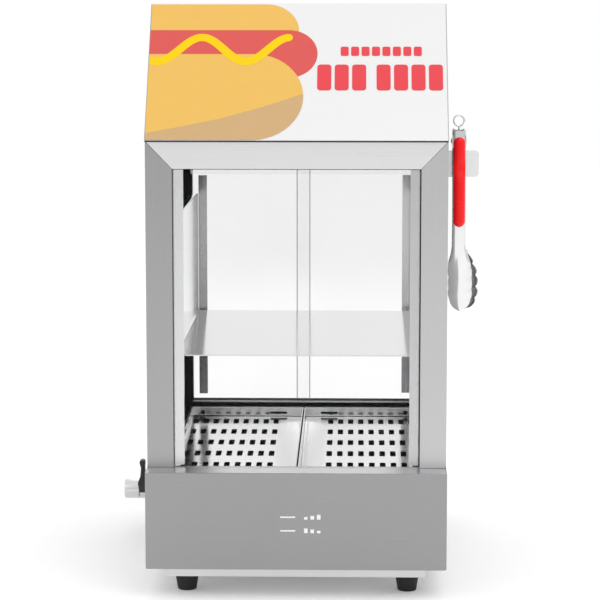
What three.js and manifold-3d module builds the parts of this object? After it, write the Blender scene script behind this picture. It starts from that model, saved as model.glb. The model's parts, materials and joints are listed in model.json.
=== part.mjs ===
// Countertop hot dog steamer with a bun warmer: a stainless water base on four feet, a
// double-walled glass-fronted cabinet with a sloped header, two sliding rear doors, two
// lift-out steam trays, a hung bun rack, a drain tap and serving tongs on a side bracket.
// Millimetres, +Z up. X runs across the cabinet from its middle plane, Y runs back from the
// base's front face, and Z runs up from the surface that the feet stand on.

import * as THREE from 'three';
import { mergeVertices } from 'three/addons/utils/BufferGeometryUtils.js';
import Module from 'manifold-3d';

const wasm = await Module();
wasm.setup();

// ---------------------------------------------------------------- driving dimensions
const GAP = 0.3; // clearance between neighbouring pieces
const WIDTH = 310; // outside width of base and cabinet
const DEPTH = 430; // front face of the base to the back panel
const HEIGHT = 610; // floor to roof
const HALF = WIDTH / 2;

const FOOT = { height: 22, topRadius: 13.3, endRadius: 10, x: 115.4, front: 45, rear: 385 };
const PAN = { halfWidth: 133.5, front: 8, rear: 422, sheet: 1.2 };
const BASE = { floor: 31.5, top: 132.5, sheet: 1 };
const MARK = { x0: -16.7, x1: 0, height: 1.8, proud: 0.8, max: 87.1, min: 72.8 };
const TANK = { halfWidth: 151, front: 3.5, rear: 396, floor: 33, sheet: 1.2 };
const DECK = { halfWidth: 134, front: 47, rear: 381, sheet: 1, step: 36, drop: 4 };

const CABINET = { front: 30, frameSheet: 2, postWidth: 27.4, railHeight: 28.4, top: 471 };
const SIDE_SHEET = 1;
const HEADER = { lipFront: 22, lipBack: 40, bottom: 471.5, topFront: 123.5, sheet: 1.2 };
const GLASS = { halfWidth: 139, thickness: 3, top: 458 };
const CHANNEL = { inner: 116.7, outer: 127.6, depth: 4, top: 442.3 };
const LINING = { inner: 134.8, sheet: 1, ceiling: 468 };
const REAR = { postInner: 134, openingTop: 441 };

const TRACK = { halfWidth: 134.5, innerDoor: 408, pitch: 10, wall: 3, slack: 0.4 };
const DOOR = { glass: 4, bottom: 134.6, top: 425, edge: 133, overlap: 16.2, lap: 6.7 };
const PULL = { inner: 116, outer: 126, bottom: 146, top: 408, thickness: 2.2 };

const TRAY = { inner: 0.8, outer: 133.5, front: 47.5, rear: 380.5, sheet: 1, lip: 7, rim: 134 };
const TRAY_FRONT_RIM = TRAY.rim - DECK.drop;
const TRAY_FLOOR = { atRear: 124.4, slope: 0.054 }; // drops towards the front
const SLOT = { columns: 9, rows: 6, width: 6, length: 23, x: 32, pitchX: 11.75 };
const SLOT_ROWS = { first: 97, pitch: 51 };

const RACK = { halfWidth: 127, front: 46, rear: 400, floor: 247, top: 388, sheet: 1.2, lip: 6 };
const RAIL = { inner: 129.5, bottom: 380, front: 60, rear: 390 };

const TAP = { y: 320, z: 48.5, radius: 11.2, bore: 6.8, stub: 7.4, end: 207.4, joint: 190 };
const LEVER = { x: -181, z: 58, front: 293, back: 305.7, tip: 87, width: 6 };

const PANEL = { knobX: -60, switchX: 20, lampX: 58, glandX: 112, z: 85, glandZ: 62 };
const KNOB = { radius: 18, length: 17.7, shaft: 3 };
const ROCKER = { pivot: 427, radius: 9.2, tilt: 10, halfWidth: 7.6 };

const BRACKET = { outer: 190.6, bottom: 428, top: 456, front: 123, sheet: 1.5, flange: 24 };
const TONGS = { x: 169.5, width: 14.7, sheet: 1.2, pivot: 466, top: 479, tip: 286 };
const HEAD = { top: 358, halfWidth: 12.7, frontX: 171.3, rearX: 178.7, teeth: 5 };
const GRIP = { width: 12.6, bottom: 376, top: 471, thickness: 5 };
const RING = { radius: 5.5, wire: 1, top: 494 };
const BOW = [ // height, and how far each arm stands from the tongs' middle plane
  [TONGS.top, 9.5], [456, 10.5], [430, 13.5], [395, 16.5], [360, 15.8], [330, 13.8],
  [300, 12.6], [TONGS.tip, 12.5],
];

const RIGHT_END = 191.4; // the rear head's rim is the rightmost point, the spout the leftmost
const KNOB_END = DEPTH + GAP + KNOB.length;
const CENTRE_X = (RIGHT_END - TAP.end) / 2;
const CENTRE_Y = (KNOB_END - MARK.proud) / 2;

// ---------------------------------------------------------------- finishes
function finish(color, roughness, metalness, opacity = 1) {
  return new THREE.MeshStandardMaterial({
    color, roughness, metalness, opacity, transparent: opacity < 1,
  });
}

const STEEL = finish(0xb4b4b6, 0.38, 1);
const BRIGHT_STEEL = finish(0xd6d6d8, 0.22, 1);
const LINING_STEEL = finish(0x8c8c8e, 0.3, 1);
const WHITE_PAINT = finish(0xf0f0f0, 0.35, 0);
const CLEAR_GLASS = finish(0xeef4f2, 0.04, 0, 0.3);
const BLACK_PLASTIC = finish(0x141414, 0.5, 0);
const CLEAR_PLASTIC = finish(0xdcdedd, 0.3, 0);
const BLACK_RUBBER = finish(0x0a0a0a, 0.75, 0);
const NICKEL = finish(0xcdccc8, 0.3, 1);
const RED_GRIP = finish(0xe81018, 0.4, 0);
const AMBER_LENS = finish(0xe07a10, 0.2, 0);

// ---------------------------------------------------------------- shape helpers
// A box between two opposite corners.
function boxGeometry(x0, x1, y0, y1, z0, z1) {
  const geometry = new THREE.BoxGeometry(x1 - x0, y1 - y0, z1 - z0);
  return geometry.translate((x0 + x1) / 2, (y0 + y1) / 2, (z0 + z1) / 2);
}

function outline(points) {
  return new THREE.Shape(points.map(([a, b]) => new THREE.Vector2(a, b)));
}

// An outline drawn in (x, z), made solid from y0 back to y1.
function frontPlate(shape, y0, y1, curveSegments = 6) {
  const options = { depth: y1 - y0, bevelEnabled: false, curveSegments };
  return new THREE.ExtrudeGeometry(shape, options).rotateX(Math.PI / 2).translate(0, y1, 0);
}

// An outline drawn in (y, z), made solid from x0 across to x1.
function sidePlate(shape, x0, x1, curveSegments = 6) {
  const options = { depth: x1 - x0, bevelEnabled: false, curveSegments };
  const turn = new THREE.Matrix4().makeBasis(
    new THREE.Vector3(0, 1, 0), new THREE.Vector3(0, 0, 1), new THREE.Vector3(1, 0, 0),
  );
  return new THREE.ExtrudeGeometry(shape, options).applyMatrix4(turn).translate(x0, 0, 0);
}

// A round piece from [radius, distance] pairs, turned about +Y (distance runs back).
function turnedAlongY(profile, x, z, segments = 24) {
  const points = profile.map(([radius, distance]) => new THREE.Vector2(radius, distance));
  return new THREE.LatheGeometry(points, segments).translate(x, 0, z);
}

// The same, turned about +X.
function turnedAlongX(profile, y, z, segments = 24) {
  const points = profile.map(([radius, distance]) => new THREE.Vector2(radius, distance));
  return new THREE.LatheGeometry(points, segments).rotateZ(-Math.PI / 2).translate(0, y, z);
}

// The same, turned about +Z.
function turnedAlongZ(profile, x, y, segments = 24) {
  const points = profile.map(([radius, distance]) => new THREE.Vector2(radius, distance));
  return new THREE.LatheGeometry(points, segments).rotateX(Math.PI / 2).translate(x, y, 0);
}

function roundBarAlongY(radius, y0, y1, x, z, segments = 20) {
  return turnedAlongY([[0, y0], [radius, y0], [radius, y1], [0, y1]], x, z, segments);
}

function roundBarAlongX(radius, x0, x1, y, z, segments = 20) {
  return turnedAlongX([[0, x0], [radius, x0], [radius, x1], [0, x1]], y, z, segments);
}

// A rectangle with rounded corners, in the plane of the outline.
function roundedRectangle(a0, a1, b0, b1, radius) {
  const shape = new THREE.Shape();
  shape.absarc(a1 - radius, b0 + radius, radius, -Math.PI / 2, 0);
  shape.absarc(a1 - radius, b1 - radius, radius, 0, Math.PI / 2);
  shape.absarc(a0 + radius, b1 - radius, radius, Math.PI / 2, Math.PI);
  shape.absarc(a0 + radius, b0 + radius, radius, Math.PI, Math.PI * 1.5);
  return shape;
}

function toSolid(geometry) {
  const bare = geometry.clone();
  bare.deleteAttribute('normal');
  bare.deleteAttribute('uv');
  const merged = mergeVertices(bare, 1e-4);
  const index = merged.index.array;
  const triVerts = [];
  for (let i = 0; i < index.length; i += 3) {
    const [a, b, c] = [index[i], index[i + 1], index[i + 2]];
    if (a !== b && b !== c && c !== a) triVerts.push(a, b, c);
  }
  return new wasm.Manifold(new wasm.Mesh({
    numProp: 3,
    vertProperties: new Float32Array(merged.attributes.position.array),
    triVerts: new Uint32Array(triVerts),
  }));
}

function toGeometry(solid) {
  const mesh = solid.getMesh();
  const geometry = new THREE.BufferGeometry();
  const { numProp, vertProperties, triVerts } = mesh;
  const position = new Float32Array((vertProperties.length / numProp) * 3);
  for (let i = 0; i < position.length / 3; i += 1) {
    position.set(vertProperties.subarray(i * numProp, i * numProp + 3), i * 3);
  }
  geometry.setAttribute('position', new THREE.BufferAttribute(position, 3));
  geometry.setIndex(new THREE.BufferAttribute(new Uint32Array(triVerts), 1));
  geometry.computeVertexNormals();
  return geometry;
}

// Joins the first list of shapes, then cuts the second list from the result.
function combine(joined, removed = []) {
  let solid = toSolid(joined[0]);
  joined.slice(1).forEach((shape) => { solid = solid.add(toSolid(shape)); });
  removed.forEach((shape) => { solid = solid.subtract(toSolid(shape)); });
  return toGeometry(solid);
}

const appliance = new THREE.Group();
appliance.name = 'hot_dog_steamer';
appliance.position.set(-CENTRE_X, -CENTRE_Y, 0);

function place(name, geometry, material) {
  const mesh = new THREE.Mesh(geometry, material);
  mesh.name = name;
  appliance.add(mesh);
}

// Names and signs of the two sides: left is -X, seen from the customer's side.
const SIDES = [['left', -1], ['right', 1]];

// A box given by its distances from the middle plane, on the chosen side.
function sideBox(sign, inner, outer, y0, y1, z0, z1) {
  const x0 = Math.min(sign * inner, sign * outer);
  const x1 = Math.max(sign * inner, sign * outer);
  return boxGeometry(x0, x1, y0, y1, z0, z1);
}

// ---------------------------------------------------------------- base
function foot() {
  return [
    [0, 0], [FOOT.endRadius - 1.5, 0], [FOOT.endRadius, 1.5],
    [FOOT.topRadius, FOOT.height], [0, FOOT.height],
  ];
}

function addFeet() {
  SIDES.forEach(([side, sign]) => {
    [['front', FOOT.front], ['rear', FOOT.rear]].forEach(([end, y]) => {
      const geometry = turnedAlongZ(foot(), sign * FOOT.x, y);
      place(`foot_${end}_${side}`, geometry, BLACK_RUBBER);
    });
  });
}

// An open box of sheet: floor and four walls, with no lid.
function openPan(halfWidth, front, rear, z0, z1, sheet) {
  const outer = boxGeometry(-halfWidth, halfWidth, front, rear, z0, z1);
  const inner = boxGeometry(
    -halfWidth + sheet, halfWidth - sheet, front + sheet, rear - sheet, z0 + sheet, z1 + sheet,
  );
  return [outer, inner];
}

// The pan hangs below the base's sheets from a flange that closes the base's underside.
function bottomPan() {
  const top = TANK.floor - GAP;
  const edge = HALF - BASE.sheet - GAP;
  const [outer, inner] = openPan(
    PAN.halfWidth, PAN.front, PAN.rear, FOOT.height + GAP, top, PAN.sheet,
  );
  const flange = boxGeometry(
    -edge, edge, BASE.sheet + GAP, DEPTH - BASE.sheet - GAP, top - PAN.sheet, top,
  );
  return combine([outer, flange], [inner]);
}

// The front sheet carries two pressed level marks.
function baseFront() {
  const sheet = boxGeometry(-HALF, HALF, 0, BASE.sheet, BASE.floor, BASE.top);
  const marks = [MARK.max, MARK.min].map((z) => boxGeometry(
    MARK.x0, MARK.x1, -MARK.proud, BASE.sheet / 2, z - MARK.height / 2, z + MARK.height / 2,
  ));
  return combine([sheet, ...marks]);
}

function baseSide(sign) {
  const rear = DEPTH - BASE.sheet - GAP;
  const sheet = sideBox(
    sign, HALF - BASE.sheet, HALF, BASE.sheet + GAP, rear, BASE.floor, BASE.top,
  );
  return sign < 0 ? combine([sheet], [tapHole()]) : sheet;
}

function tapHole() {
  return roundBarAlongX(TAP.stub + GAP, -HALF - 5, -TANK.halfWidth + 5, TAP.y, TAP.z);
}

function baseBack() {
  const back = DEPTH - BASE.sheet;
  const sheet = boxGeometry(-HALF, HALF, back, DEPTH, BASE.floor, BASE.top);
  const holes = [
    roundBarAlongY(KNOB.shaft + 0.8, back - 1, DEPTH + 1, PANEL.knobX, PANEL.z),
    roundBarAlongY(4.8, back - 1, DEPTH + 1, PANEL.lampX, PANEL.z),
    roundBarAlongY(6.5, back - 1, DEPTH + 1, PANEL.glandX, PANEL.glandZ),
    boxGeometry(
      PANEL.switchX - 10.3, PANEL.switchX + 10.3, back - 1, DEPTH + 1,
      PANEL.z - 13.8, PANEL.z + 13.8,
    ),
  ];
  return combine([sheet], holes);
}

// The top plate of the base, with the opening that the steam trays drop into. Its front edge
// steps down to a ledge, so that the trays' front lips lie below the glass.
function baseDeck() {
  const edge = HALF - BASE.sheet - GAP;
  const plate = boxGeometry(
    -edge, edge, BASE.sheet + GAP, DEPTH - BASE.sheet - GAP, BASE.top - DECK.sheet, BASE.top,
  );
  const opening = boxGeometry(
    -DECK.halfWidth, DECK.halfWidth, DECK.step, DECK.rear, BASE.top - 5, BASE.top + 5,
  );
  const ledgeTop = BASE.top - DECK.drop;
  const ledge = outline([
    [DECK.step - DECK.sheet, BASE.top - DECK.sheet / 2],
    [DECK.step - DECK.sheet, ledgeTop - DECK.sheet], [DECK.front, ledgeTop - DECK.sheet],
    [DECK.front, ledgeTop], [DECK.step, ledgeTop], [DECK.step, BASE.top - DECK.sheet / 2],
  ]);
  return combine([plate, sidePlate(ledge, -DECK.halfWidth, DECK.halfWidth)], [opening]);
}

function waterTank() {
  const [outer, inner] = openPan(
    TANK.halfWidth, TANK.front, TANK.rear, TANK.floor, BASE.top - DECK.sheet - GAP, TANK.sheet,
  );
  return combine([outer], [inner, tapHole()]);
}

function addBase() {
  addFeet();
  place('bottom_pan', bottomPan(), STEEL);
  place('base_front', baseFront(), STEEL);
  SIDES.forEach(([side, sign]) => place(`base_${side}`, baseSide(sign), STEEL));
  place('base_back', baseBack(), STEEL);
  place('base_deck', baseDeck(), STEEL);
  place('water_tank', waterTank(), LINING_STEEL);
}

// ---------------------------------------------------------------- heater
const HEATER = { halfSpan: 40, radius: 4, z: 50, front: 110, flange: 3.5 };

// A single hairpin of sheathed element, lying in the water.
function heatingElement() {
  const rear = TANK.rear - TANK.sheet - HEATER.flange - 2 * GAP;
  const path = new THREE.CurvePath();
  const corner = (sign) => new THREE.Vector3(sign * HEATER.halfSpan, HEATER.front, HEATER.z);
  const root = (sign) => new THREE.Vector3(sign * HEATER.halfSpan, rear, HEATER.z);
  const reach = HEATER.front - HEATER.halfSpan * 4 / 3;
  const bend = new THREE.CubicBezierCurve3(
    corner(1),
    new THREE.Vector3(HEATER.halfSpan, reach, HEATER.z),
    new THREE.Vector3(-HEATER.halfSpan, reach, HEATER.z),
    corner(-1),
  );
  path.add(new THREE.LineCurve3(root(1), corner(1)));
  path.add(bend);
  path.add(new THREE.LineCurve3(corner(-1), root(-1)));
  const section = new THREE.Shape().absarc(0, 0, HEATER.radius, 0, Math.PI * 2);
  return new THREE.ExtrudeGeometry(section, {
    extrudePath: path, steps: 36, bevelEnabled: false, curveSegments: 4,
  });
}

function addHeater() {
  const back = TANK.rear - TANK.sheet - GAP;
  const flange = roundedRectangle(-52, 52, HEATER.z - 13, HEATER.z + 13, 8);
  place('heater_flange', frontPlate(flange, back - HEATER.flange, back), NICKEL);
  place('heating_element', heatingElement(), LINING_STEEL);
}

// ---------------------------------------------------------------- drain tap
// The body passes through the base's left wall and the tank, and a nut clamps it inside.
function drainBody() {
  const body = turnedAlongX([
    [0, -TAP.joint], [TAP.radius - 1, -TAP.joint], [TAP.radius, -TAP.joint + 1],
    [TAP.radius, -163], [14, -161], [14, -HALF - GAP], [TAP.stub, -HALF - GAP],
    [TAP.stub, -141], [0, -141],
  ], TAP.y, TAP.z);
  const stem = roundBarAlongY(6, LEVER.back + GAP, TAP.y, LEVER.x, LEVER.z - 4);
  return combine([body, stem]);
}

function drainNut() {
  const bore = (TAP.stub + GAP) / Math.cos(Math.PI / 6);
  const face = -TANK.halfWidth + TANK.sheet + GAP;
  return turnedAlongX([
    [bore, face], [13, face], [13, -143], [bore, -143], [bore, face],
  ], TAP.y, TAP.z, 6);
}

function drainSpout() {
  return turnedAlongX([
    [TAP.bore, -TAP.end], [TAP.radius - 1.5, -TAP.end], [TAP.radius, -TAP.end + 1.5],
    [TAP.radius, -TAP.joint - GAP], [TAP.bore, -TAP.joint - GAP], [TAP.bore, -TAP.end],
  ], TAP.y, TAP.z);
}

// A tapered hub with a narrow lever standing up from it.
function drainLever() {
  const hub = outline([
    [LEVER.x - 7.5, LEVER.z - 9], [LEVER.x + 7.5, LEVER.z - 9], [LEVER.x + 9.5, LEVER.z + 3],
    [LEVER.x + 6, LEVER.z + 6.5], [LEVER.x + LEVER.width / 2 - 1, LEVER.z + 9],
    [LEVER.x + LEVER.width / 2 - 2.5, LEVER.tip - 1.5], [LEVER.x - 1, LEVER.tip],
    [LEVER.x - LEVER.width / 2 - 2, LEVER.tip], [LEVER.x - LEVER.width / 2 - 3, LEVER.tip - 1.5],
    [LEVER.x - LEVER.width / 2 - 2.5, LEVER.z + 9], [LEVER.x - 8.5, LEVER.z + 6.5],
    [LEVER.x - 9.5, LEVER.z + 3],
  ]);
  return frontPlate(hub, LEVER.front, LEVER.back);
}

function addDrainTap() {
  place('drain_body', drainBody(), NICKEL);
  place('drain_nut', drainNut(), NICKEL);
  place('drain_spout', drainSpout(), NICKEL);
  place('drain_lever', drainLever(), BLACK_PLASTIC);
}

// ---------------------------------------------------------------- operator's controls
function thermostatBody() {
  const back = DEPTH - BASE.sheet - GAP;
  const block = boxGeometry(
    PANEL.knobX - 19, PANEL.knobX + 19, back - 26, back, PANEL.z - 19, PANEL.z + 19,
  );
  return combine([block], [
    roundBarAlongY(KNOB.shaft + 0.8, back - 9, back + 1, PANEL.knobX, PANEL.z),
  ]);
}

function thermostatKnob() {
  const face = DEPTH + GAP;
  const knob = turnedAlongY([
    [0, face - 8], [KNOB.shaft, face - 8], [KNOB.shaft, face], [KNOB.radius, face],
    [KNOB.radius, face + 4], [KNOB.radius - 3, face + 6], [KNOB.radius - 4, KNOB_END - 1],
    [KNOB.radius - 5, KNOB_END], [0, KNOB_END],
  ], PANEL.knobX, PANEL.z, 32);
  return knob;
}

function switchHousing() {
  const x = PANEL.switchX;
  const bezel = roundedRectangle(x - 12, x + 12, PANEL.z - 16, PANEL.z + 16, 2);
  const block = boxGeometry(x - 10, x + 10, DEPTH - 22, DEPTH + 1, PANEL.z - 13.5, PANEL.z + 13.5);
  const pocket = boxGeometry(
    x - ROCKER.halfWidth - 0.4, x + ROCKER.halfWidth + 0.4, ROCKER.pivot - 10.4, DEPTH + 5,
    PANEL.z - 10.4, PANEL.z + 10.4,
  );
  return combine([frontPlate(bezel, DEPTH + GAP, DEPTH + 2.3), block], [pocket]);
}

// A rocker with a round back about its pivot and a shallow V face, resting tipped one way.
function switchRocker() {
  const shape = new THREE.Shape();
  shape.absarc(0, 0, ROCKER.radius, Math.PI / 2, Math.PI * 1.5);
  shape.lineTo(4.5, -8.4);
  shape.lineTo(2.6, 0);
  shape.lineTo(4.5, 8.4);
  const rocker = sidePlate(shape, -ROCKER.halfWidth, ROCKER.halfWidth, 10);
  rocker.rotateX(THREE.MathUtils.degToRad(-ROCKER.tilt));
  return rocker.translate(PANEL.switchX, ROCKER.pivot, PANEL.z);
}

function pilotLamp() {
  const face = DEPTH + GAP;
  return turnedAlongY([
    [0, face - 10], [4.5, face - 10], [4.5, face], [6.5, face], [6.5, face + 1.5],
    [5, face + 4], [2.5, face + 5], [0, face + 5.3],
  ], PANEL.lampX, PANEL.z);
}

function cordGland() {
  const face = DEPTH + GAP;
  return turnedAlongY([
    [3.8, face - 12], [6.2, face - 12], [6.2, face], [11, face], [11, face + 5],
    [9, face + 6], [8, face + 13], [6.5, face + 15], [3.8, face + 15], [3.8, face - 12],
  ], PANEL.glandX, PANEL.glandZ);
}

function addControls() {
  place('thermostat_body', thermostatBody(), BLACK_PLASTIC);
  place('thermostat_knob', thermostatKnob(), BLACK_PLASTIC);
  place('switch_housing', switchHousing(), BLACK_PLASTIC);
  place('switch_rocker', switchRocker(), BLACK_PLASTIC);
  place('pilot_lamp', pilotLamp(), AMBER_LENS);
  place('cord_gland', cordGland(), BLACK_PLASTIC);
}

// ---------------------------------------------------------------- steam trays
function floorHeight(y) {
  return TRAY_FLOOR.atRear - (TRAY.rear - y) * TRAY_FLOOR.slope;
}

// Rows and columns of steam slots through one tray's floor.
function traySlots(sign) {
  const slots = [];
  for (let row = 0; row < SLOT.rows; row += 1) {
    for (let column = 0; column < SLOT.columns; column += 1) {
      const x = sign * (SLOT.x + column * SLOT.pitchX);
      const y = SLOT_ROWS.first + row * SLOT_ROWS.pitch;
      slots.push(boxGeometry(
        x - SLOT.width / 2, x + SLOT.width / 2, y - SLOT.length / 2, y + SLOT.length / 2,
        floorHeight(y) - 6, floorHeight(y) + 6,
      ));
    }
  }
  return slots;
}

// A shallow pan whose floor and rim fall to the front, hung in the deck by its front and rear
// lips.
function tray(sign) {
  const s = TRAY.sheet;
  const span = [sign * TRAY.inner, sign * TRAY.outer].sort((a, b) => a - b);
  const body = outline([
    [TRAY.front, floorHeight(TRAY.front) - s], [TRAY.rear, floorHeight(TRAY.rear) - s],
    [TRAY.rear, TRAY.rim], [TRAY.front, TRAY_FRONT_RIM],
  ]);
  const hollow = outline([
    [TRAY.front + s, floorHeight(TRAY.front + s)], [TRAY.rear - s, floorHeight(TRAY.rear - s)],
    [TRAY.rear - s, TRAY.rim + 5], [TRAY.front + s, TRAY.rim + 5],
  ]);
  const lips = [
    [TRAY.front - TRAY.lip, TRAY.front + s, TRAY_FRONT_RIM],
    [TRAY.rear - s, TRAY.rear + TRAY.lip, TRAY.rim],
  ];
  const lipBoxes = lips.map(([y0, y1, top]) => boxGeometry(span[0], span[1], y0, y1, top - s, top));
  const middle = TRAY.rear - s / 2;
  const fingerSlot = sideBox(sign, 20, 40, middle - 3, middle + 3, 127, 130);
  const peg = roundBarAlongY(3, middle - 3, middle + 3, sign * 120, 129, 8);
  return combine(
    [sidePlate(body, span[0], span[1]), ...lipBoxes],
    [sidePlate(hollow, span[0] + s, span[1] - s), fingerSlot, peg, ...traySlots(sign)],
  );
}

// ---------------------------------------------------------------- bun rack
// A floor between two tall side plates, whose out-turned lips hang on rails in the lining.
function bunRack() {
  const { halfWidth, front, rear, sheet } = RACK;
  const parts = [boxGeometry(-halfWidth, halfWidth, front, rear, RACK.floor, RACK.floor + sheet)];
  SIDES.forEach(([, sign]) => {
    parts.push(sideBox(sign, halfWidth - sheet, halfWidth, front, rear, RACK.floor, RACK.top));
    parts.push(sideBox(
      sign, halfWidth - sheet, halfWidth + RACK.lip, front, rear, RACK.top - sheet, RACK.top,
    ));
  });
  return combine(parts);
}

function addInterior() {
  SIDES.forEach(([side, sign]) => {
    place(`tray_${side}`, tray(sign), BRIGHT_STEEL);
    place(`rack_rail_${side}`, sideBox(
      sign, RAIL.inner, LINING.inner - GAP, RAIL.front, RAIL.rear,
      RAIL.bottom, RACK.top - RACK.sheet - GAP,
    ), STEEL);
  });
  place('bun_rack', bunRack(), BRIGHT_STEEL);
}

// ---------------------------------------------------------------- cabinet
const FLOOR = BASE.top + GAP; // where the cabinet's own sheets start
const SLOPE = (HEADER.topFront - HEADER.lipFront) / (HEIGHT - HEADER.bottom);
const HEADER_RUN = HEADER.sheet * Math.hypot(1, SLOPE); // the sloped sheet's depth along Y

// The y of the header sheet's inner face at a height.
function headerInside(z) {
  return HEADER.lipFront + HEADER_RUN + (z - HEADER.bottom) * SLOPE;
}

function sidePanel(sign) {
  const behindFrame = CABINET.front + CABINET.frameSheet + GAP;
  const lip = HEADER.bottom + GAP;
  const top = HEIGHT - SIDE_SHEET - GAP;
  const rear = DEPTH - SIDE_SHEET - GAP;
  const shape = outline([
    [behindFrame, FLOOR], [rear, FLOOR], [rear, top], [headerInside(top) + 0.5, top],
    [headerInside(lip) + 0.5, lip], [behindFrame, lip],
  ]);
  const x0 = sign > 0 ? HALF - SIDE_SHEET : -HALF;
  return sidePlate(shape, x0, x0 + SIDE_SHEET);
}

// The printed header: a sloped sheet with a lip folded back along its lower edge.
function headerPanel() {
  const slope = outline([
    [HEADER.lipFront, HEADER.bottom], [headerInside(HEADER.bottom), HEADER.bottom],
    [headerInside(HEIGHT), HEIGHT], [HEADER.topFront, HEIGHT],
  ]);
  const inset = HALF - SIDE_SHEET - GAP;
  const lip = boxGeometry(
    -inset, inset, HEADER.lipFront + 1, HEADER.lipBack, HEADER.bottom,
    HEADER.bottom + HEADER.sheet,
  );
  return combine([sidePlate(slope, -HALF, HALF), lip]);
}

// The front frame: two posts and a top rail, mitred where they meet.
function frontPost(sign) {
  const inner = HALF - CABINET.postWidth;
  const corner = CABINET.top - CABINET.railHeight;
  const shape = outline([
    [sign * HALF, FLOOR], [sign * HALF, CABINET.top - GAP], [sign * inner, corner - GAP],
    [sign * inner, FLOOR],
  ]);
  return frontPlate(shape, CABINET.front, CABINET.front + CABINET.frameSheet);
}

function frontRail() {
  const inner = HALF - CABINET.postWidth;
  const corner = CABINET.top - CABINET.railHeight;
  const shape = outline([
    [-inner + GAP, corner], [inner - GAP, corner], [HALF - GAP, CABINET.top],
    [-HALF + GAP, CABINET.top],
  ]);
  return frontPlate(shape, CABINET.front, CABINET.front + CABINET.frameSheet);
}

function addCabinet() {
  const behindFrame = CABINET.front + CABINET.frameSheet + GAP;
  const behindGlass = behindFrame + GLASS.thickness + GAP;
  const rearFace = DEPTH - SIDE_SHEET;
  const inset = HALF - SIDE_SHEET - GAP;
  SIDES.forEach(([side, sign]) => {
    place(`side_panel_${side}`, sidePanel(sign), STEEL);
    place(`front_post_${side}`, frontPost(sign), STEEL);
    place(`glass_channel_${side}`, sideBox(
      sign, CHANNEL.inner, CHANNEL.outer, behindGlass, behindGlass + CHANNEL.depth,
      TRAY.rim + GAP, CHANNEL.top,
    ), STEEL);
    place(`inner_wall_${side}`, sideBox(
      sign, LINING.inner, LINING.inner + LINING.sheet, behindGlass, rearFace - GAP,
      FLOOR, LINING.ceiling - GAP,
    ), LINING_STEEL);
    place(`rear_post_${side}`, sideBox(
      sign, REAR.postInner, HALF, rearFace, DEPTH, FLOOR, REAR.openingTop - GAP,
    ), STEEL);
  });
  place('front_top_rail', frontRail(), STEEL);
  place('front_glass', boxGeometry(
    -GLASS.halfWidth, GLASS.halfWidth, behindFrame, behindFrame + GLASS.thickness,
    FLOOR + GAP, GLASS.top,
  ), CLEAR_GLASS);
  place('header_panel', headerPanel(), WHITE_PAINT);
  place('roof_panel', boxGeometry(
    -HALF, HALF, headerInside(HEIGHT) + GAP, DEPTH, HEIGHT - SIDE_SHEET, HEIGHT,
  ), STEEL);
  place('ceiling_panel', boxGeometry(
    -inset, inset, behindGlass, rearFace - GAP, LINING.ceiling, LINING.ceiling + LINING.sheet,
  ), LINING_STEEL);
  place('rear_upper_panel', boxGeometry(
    -HALF, HALF, rearFace, DEPTH, REAR.openingTop, HEIGHT - SIDE_SHEET - GAP,
  ), STEEL);
}

// ---------------------------------------------------------------- rear doors
// A bar with two grooves that the door edges run in. The open ends face up or down.
function doorTrack(base, mouth) {
  const groove = DOOR.glass / 2 + TRACK.slack;
  const inner = TRACK.innerDoor;
  const outer = TRACK.innerDoor + TRACK.pitch;
  const floor = base < mouth ? base + 1.5 : base - 1.5;
  const shape = outline([
    [inner - groove - TRACK.wall, base], [outer + groove + TRACK.wall, base],
    [outer + groove + TRACK.wall, mouth], [outer + groove, mouth], [outer + groove, floor],
    [outer - groove, floor], [outer - groove, mouth], [inner + groove, mouth],
    [inner + groove, floor], [inner - groove, floor], [inner - groove, mouth],
    [inner - groove - TRACK.wall, mouth],
  ]);
  return sidePlate(shape, -TRACK.halfWidth, TRACK.halfWidth);
}

// The left pane runs in the inner groove and the right one in the outer; they lap mid-way.
function addDoors() {
  place('door_track_bottom', doorTrack(FLOOR, 138.5), BLACK_PLASTIC);
  place('door_track_top', doorTrack(440, 410), CLEAR_PLASTIC);
  const lapRight = DOOR.lap;
  const lapLeft = DOOR.lap - DOOR.overlap;
  const panes = [
    ['left', -1, TRACK.innerDoor, -DOOR.edge, lapRight],
    ['right', 1, TRACK.innerDoor + TRACK.pitch, lapLeft, DOOR.edge],
  ];
  panes.forEach(([side, sign, y, x0, x1]) => {
    const back = y + DOOR.glass / 2;
    place(`door_${side}`, boxGeometry(
      x0, x1, y - DOOR.glass / 2, back, DOOR.bottom, DOOR.top,
    ), CLEAR_GLASS);
    place(`door_pull_${side}`, sideBox(
      sign, PULL.inner, PULL.outer, back + GAP, back + GAP + PULL.thickness,
      PULL.bottom, PULL.top,
    ), STEEL);
  });
}

// ---------------------------------------------------------------- tongs and bracket
const TONGS_Y = BRACKET.front + BRACKET.sheet / 2; // the tongs' middle plane

function bracket() {
  const plate = roundedRectangle(HALF + GAP, BRACKET.outer, BRACKET.bottom, BRACKET.top, 3);
  const flange = boxGeometry(
    HALF + GAP, HALF + GAP + BRACKET.sheet, BRACKET.front, BRACKET.front + BRACKET.flange,
    BRACKET.bottom, BRACKET.top,
  );
  return combine([
    frontPlate(plate, BRACKET.front, BRACKET.front + BRACKET.sheet), flange,
  ]);
}

const BOW_CURVE = new THREE.SplineCurve(BOW.map(([z, stand]) => new THREE.Vector2(z, stand)));

// A strip that follows an arm's bow, between two stand-offs from the arm's middle line.
function bowedStrip(side, near, far, from, to, x, width) {
  const line = BOW_CURVE.getPoints(28).filter((p) => p.x <= from && p.x >= to);
  const edge = (stand) => line.map((p) => [TONGS_Y + side * (p.y + stand), p.x]);
  const points = [...edge(near), ...edge(far).reverse()];
  return sidePlate(outline(points), x - width / 2, x + width / 2);
}

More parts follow.
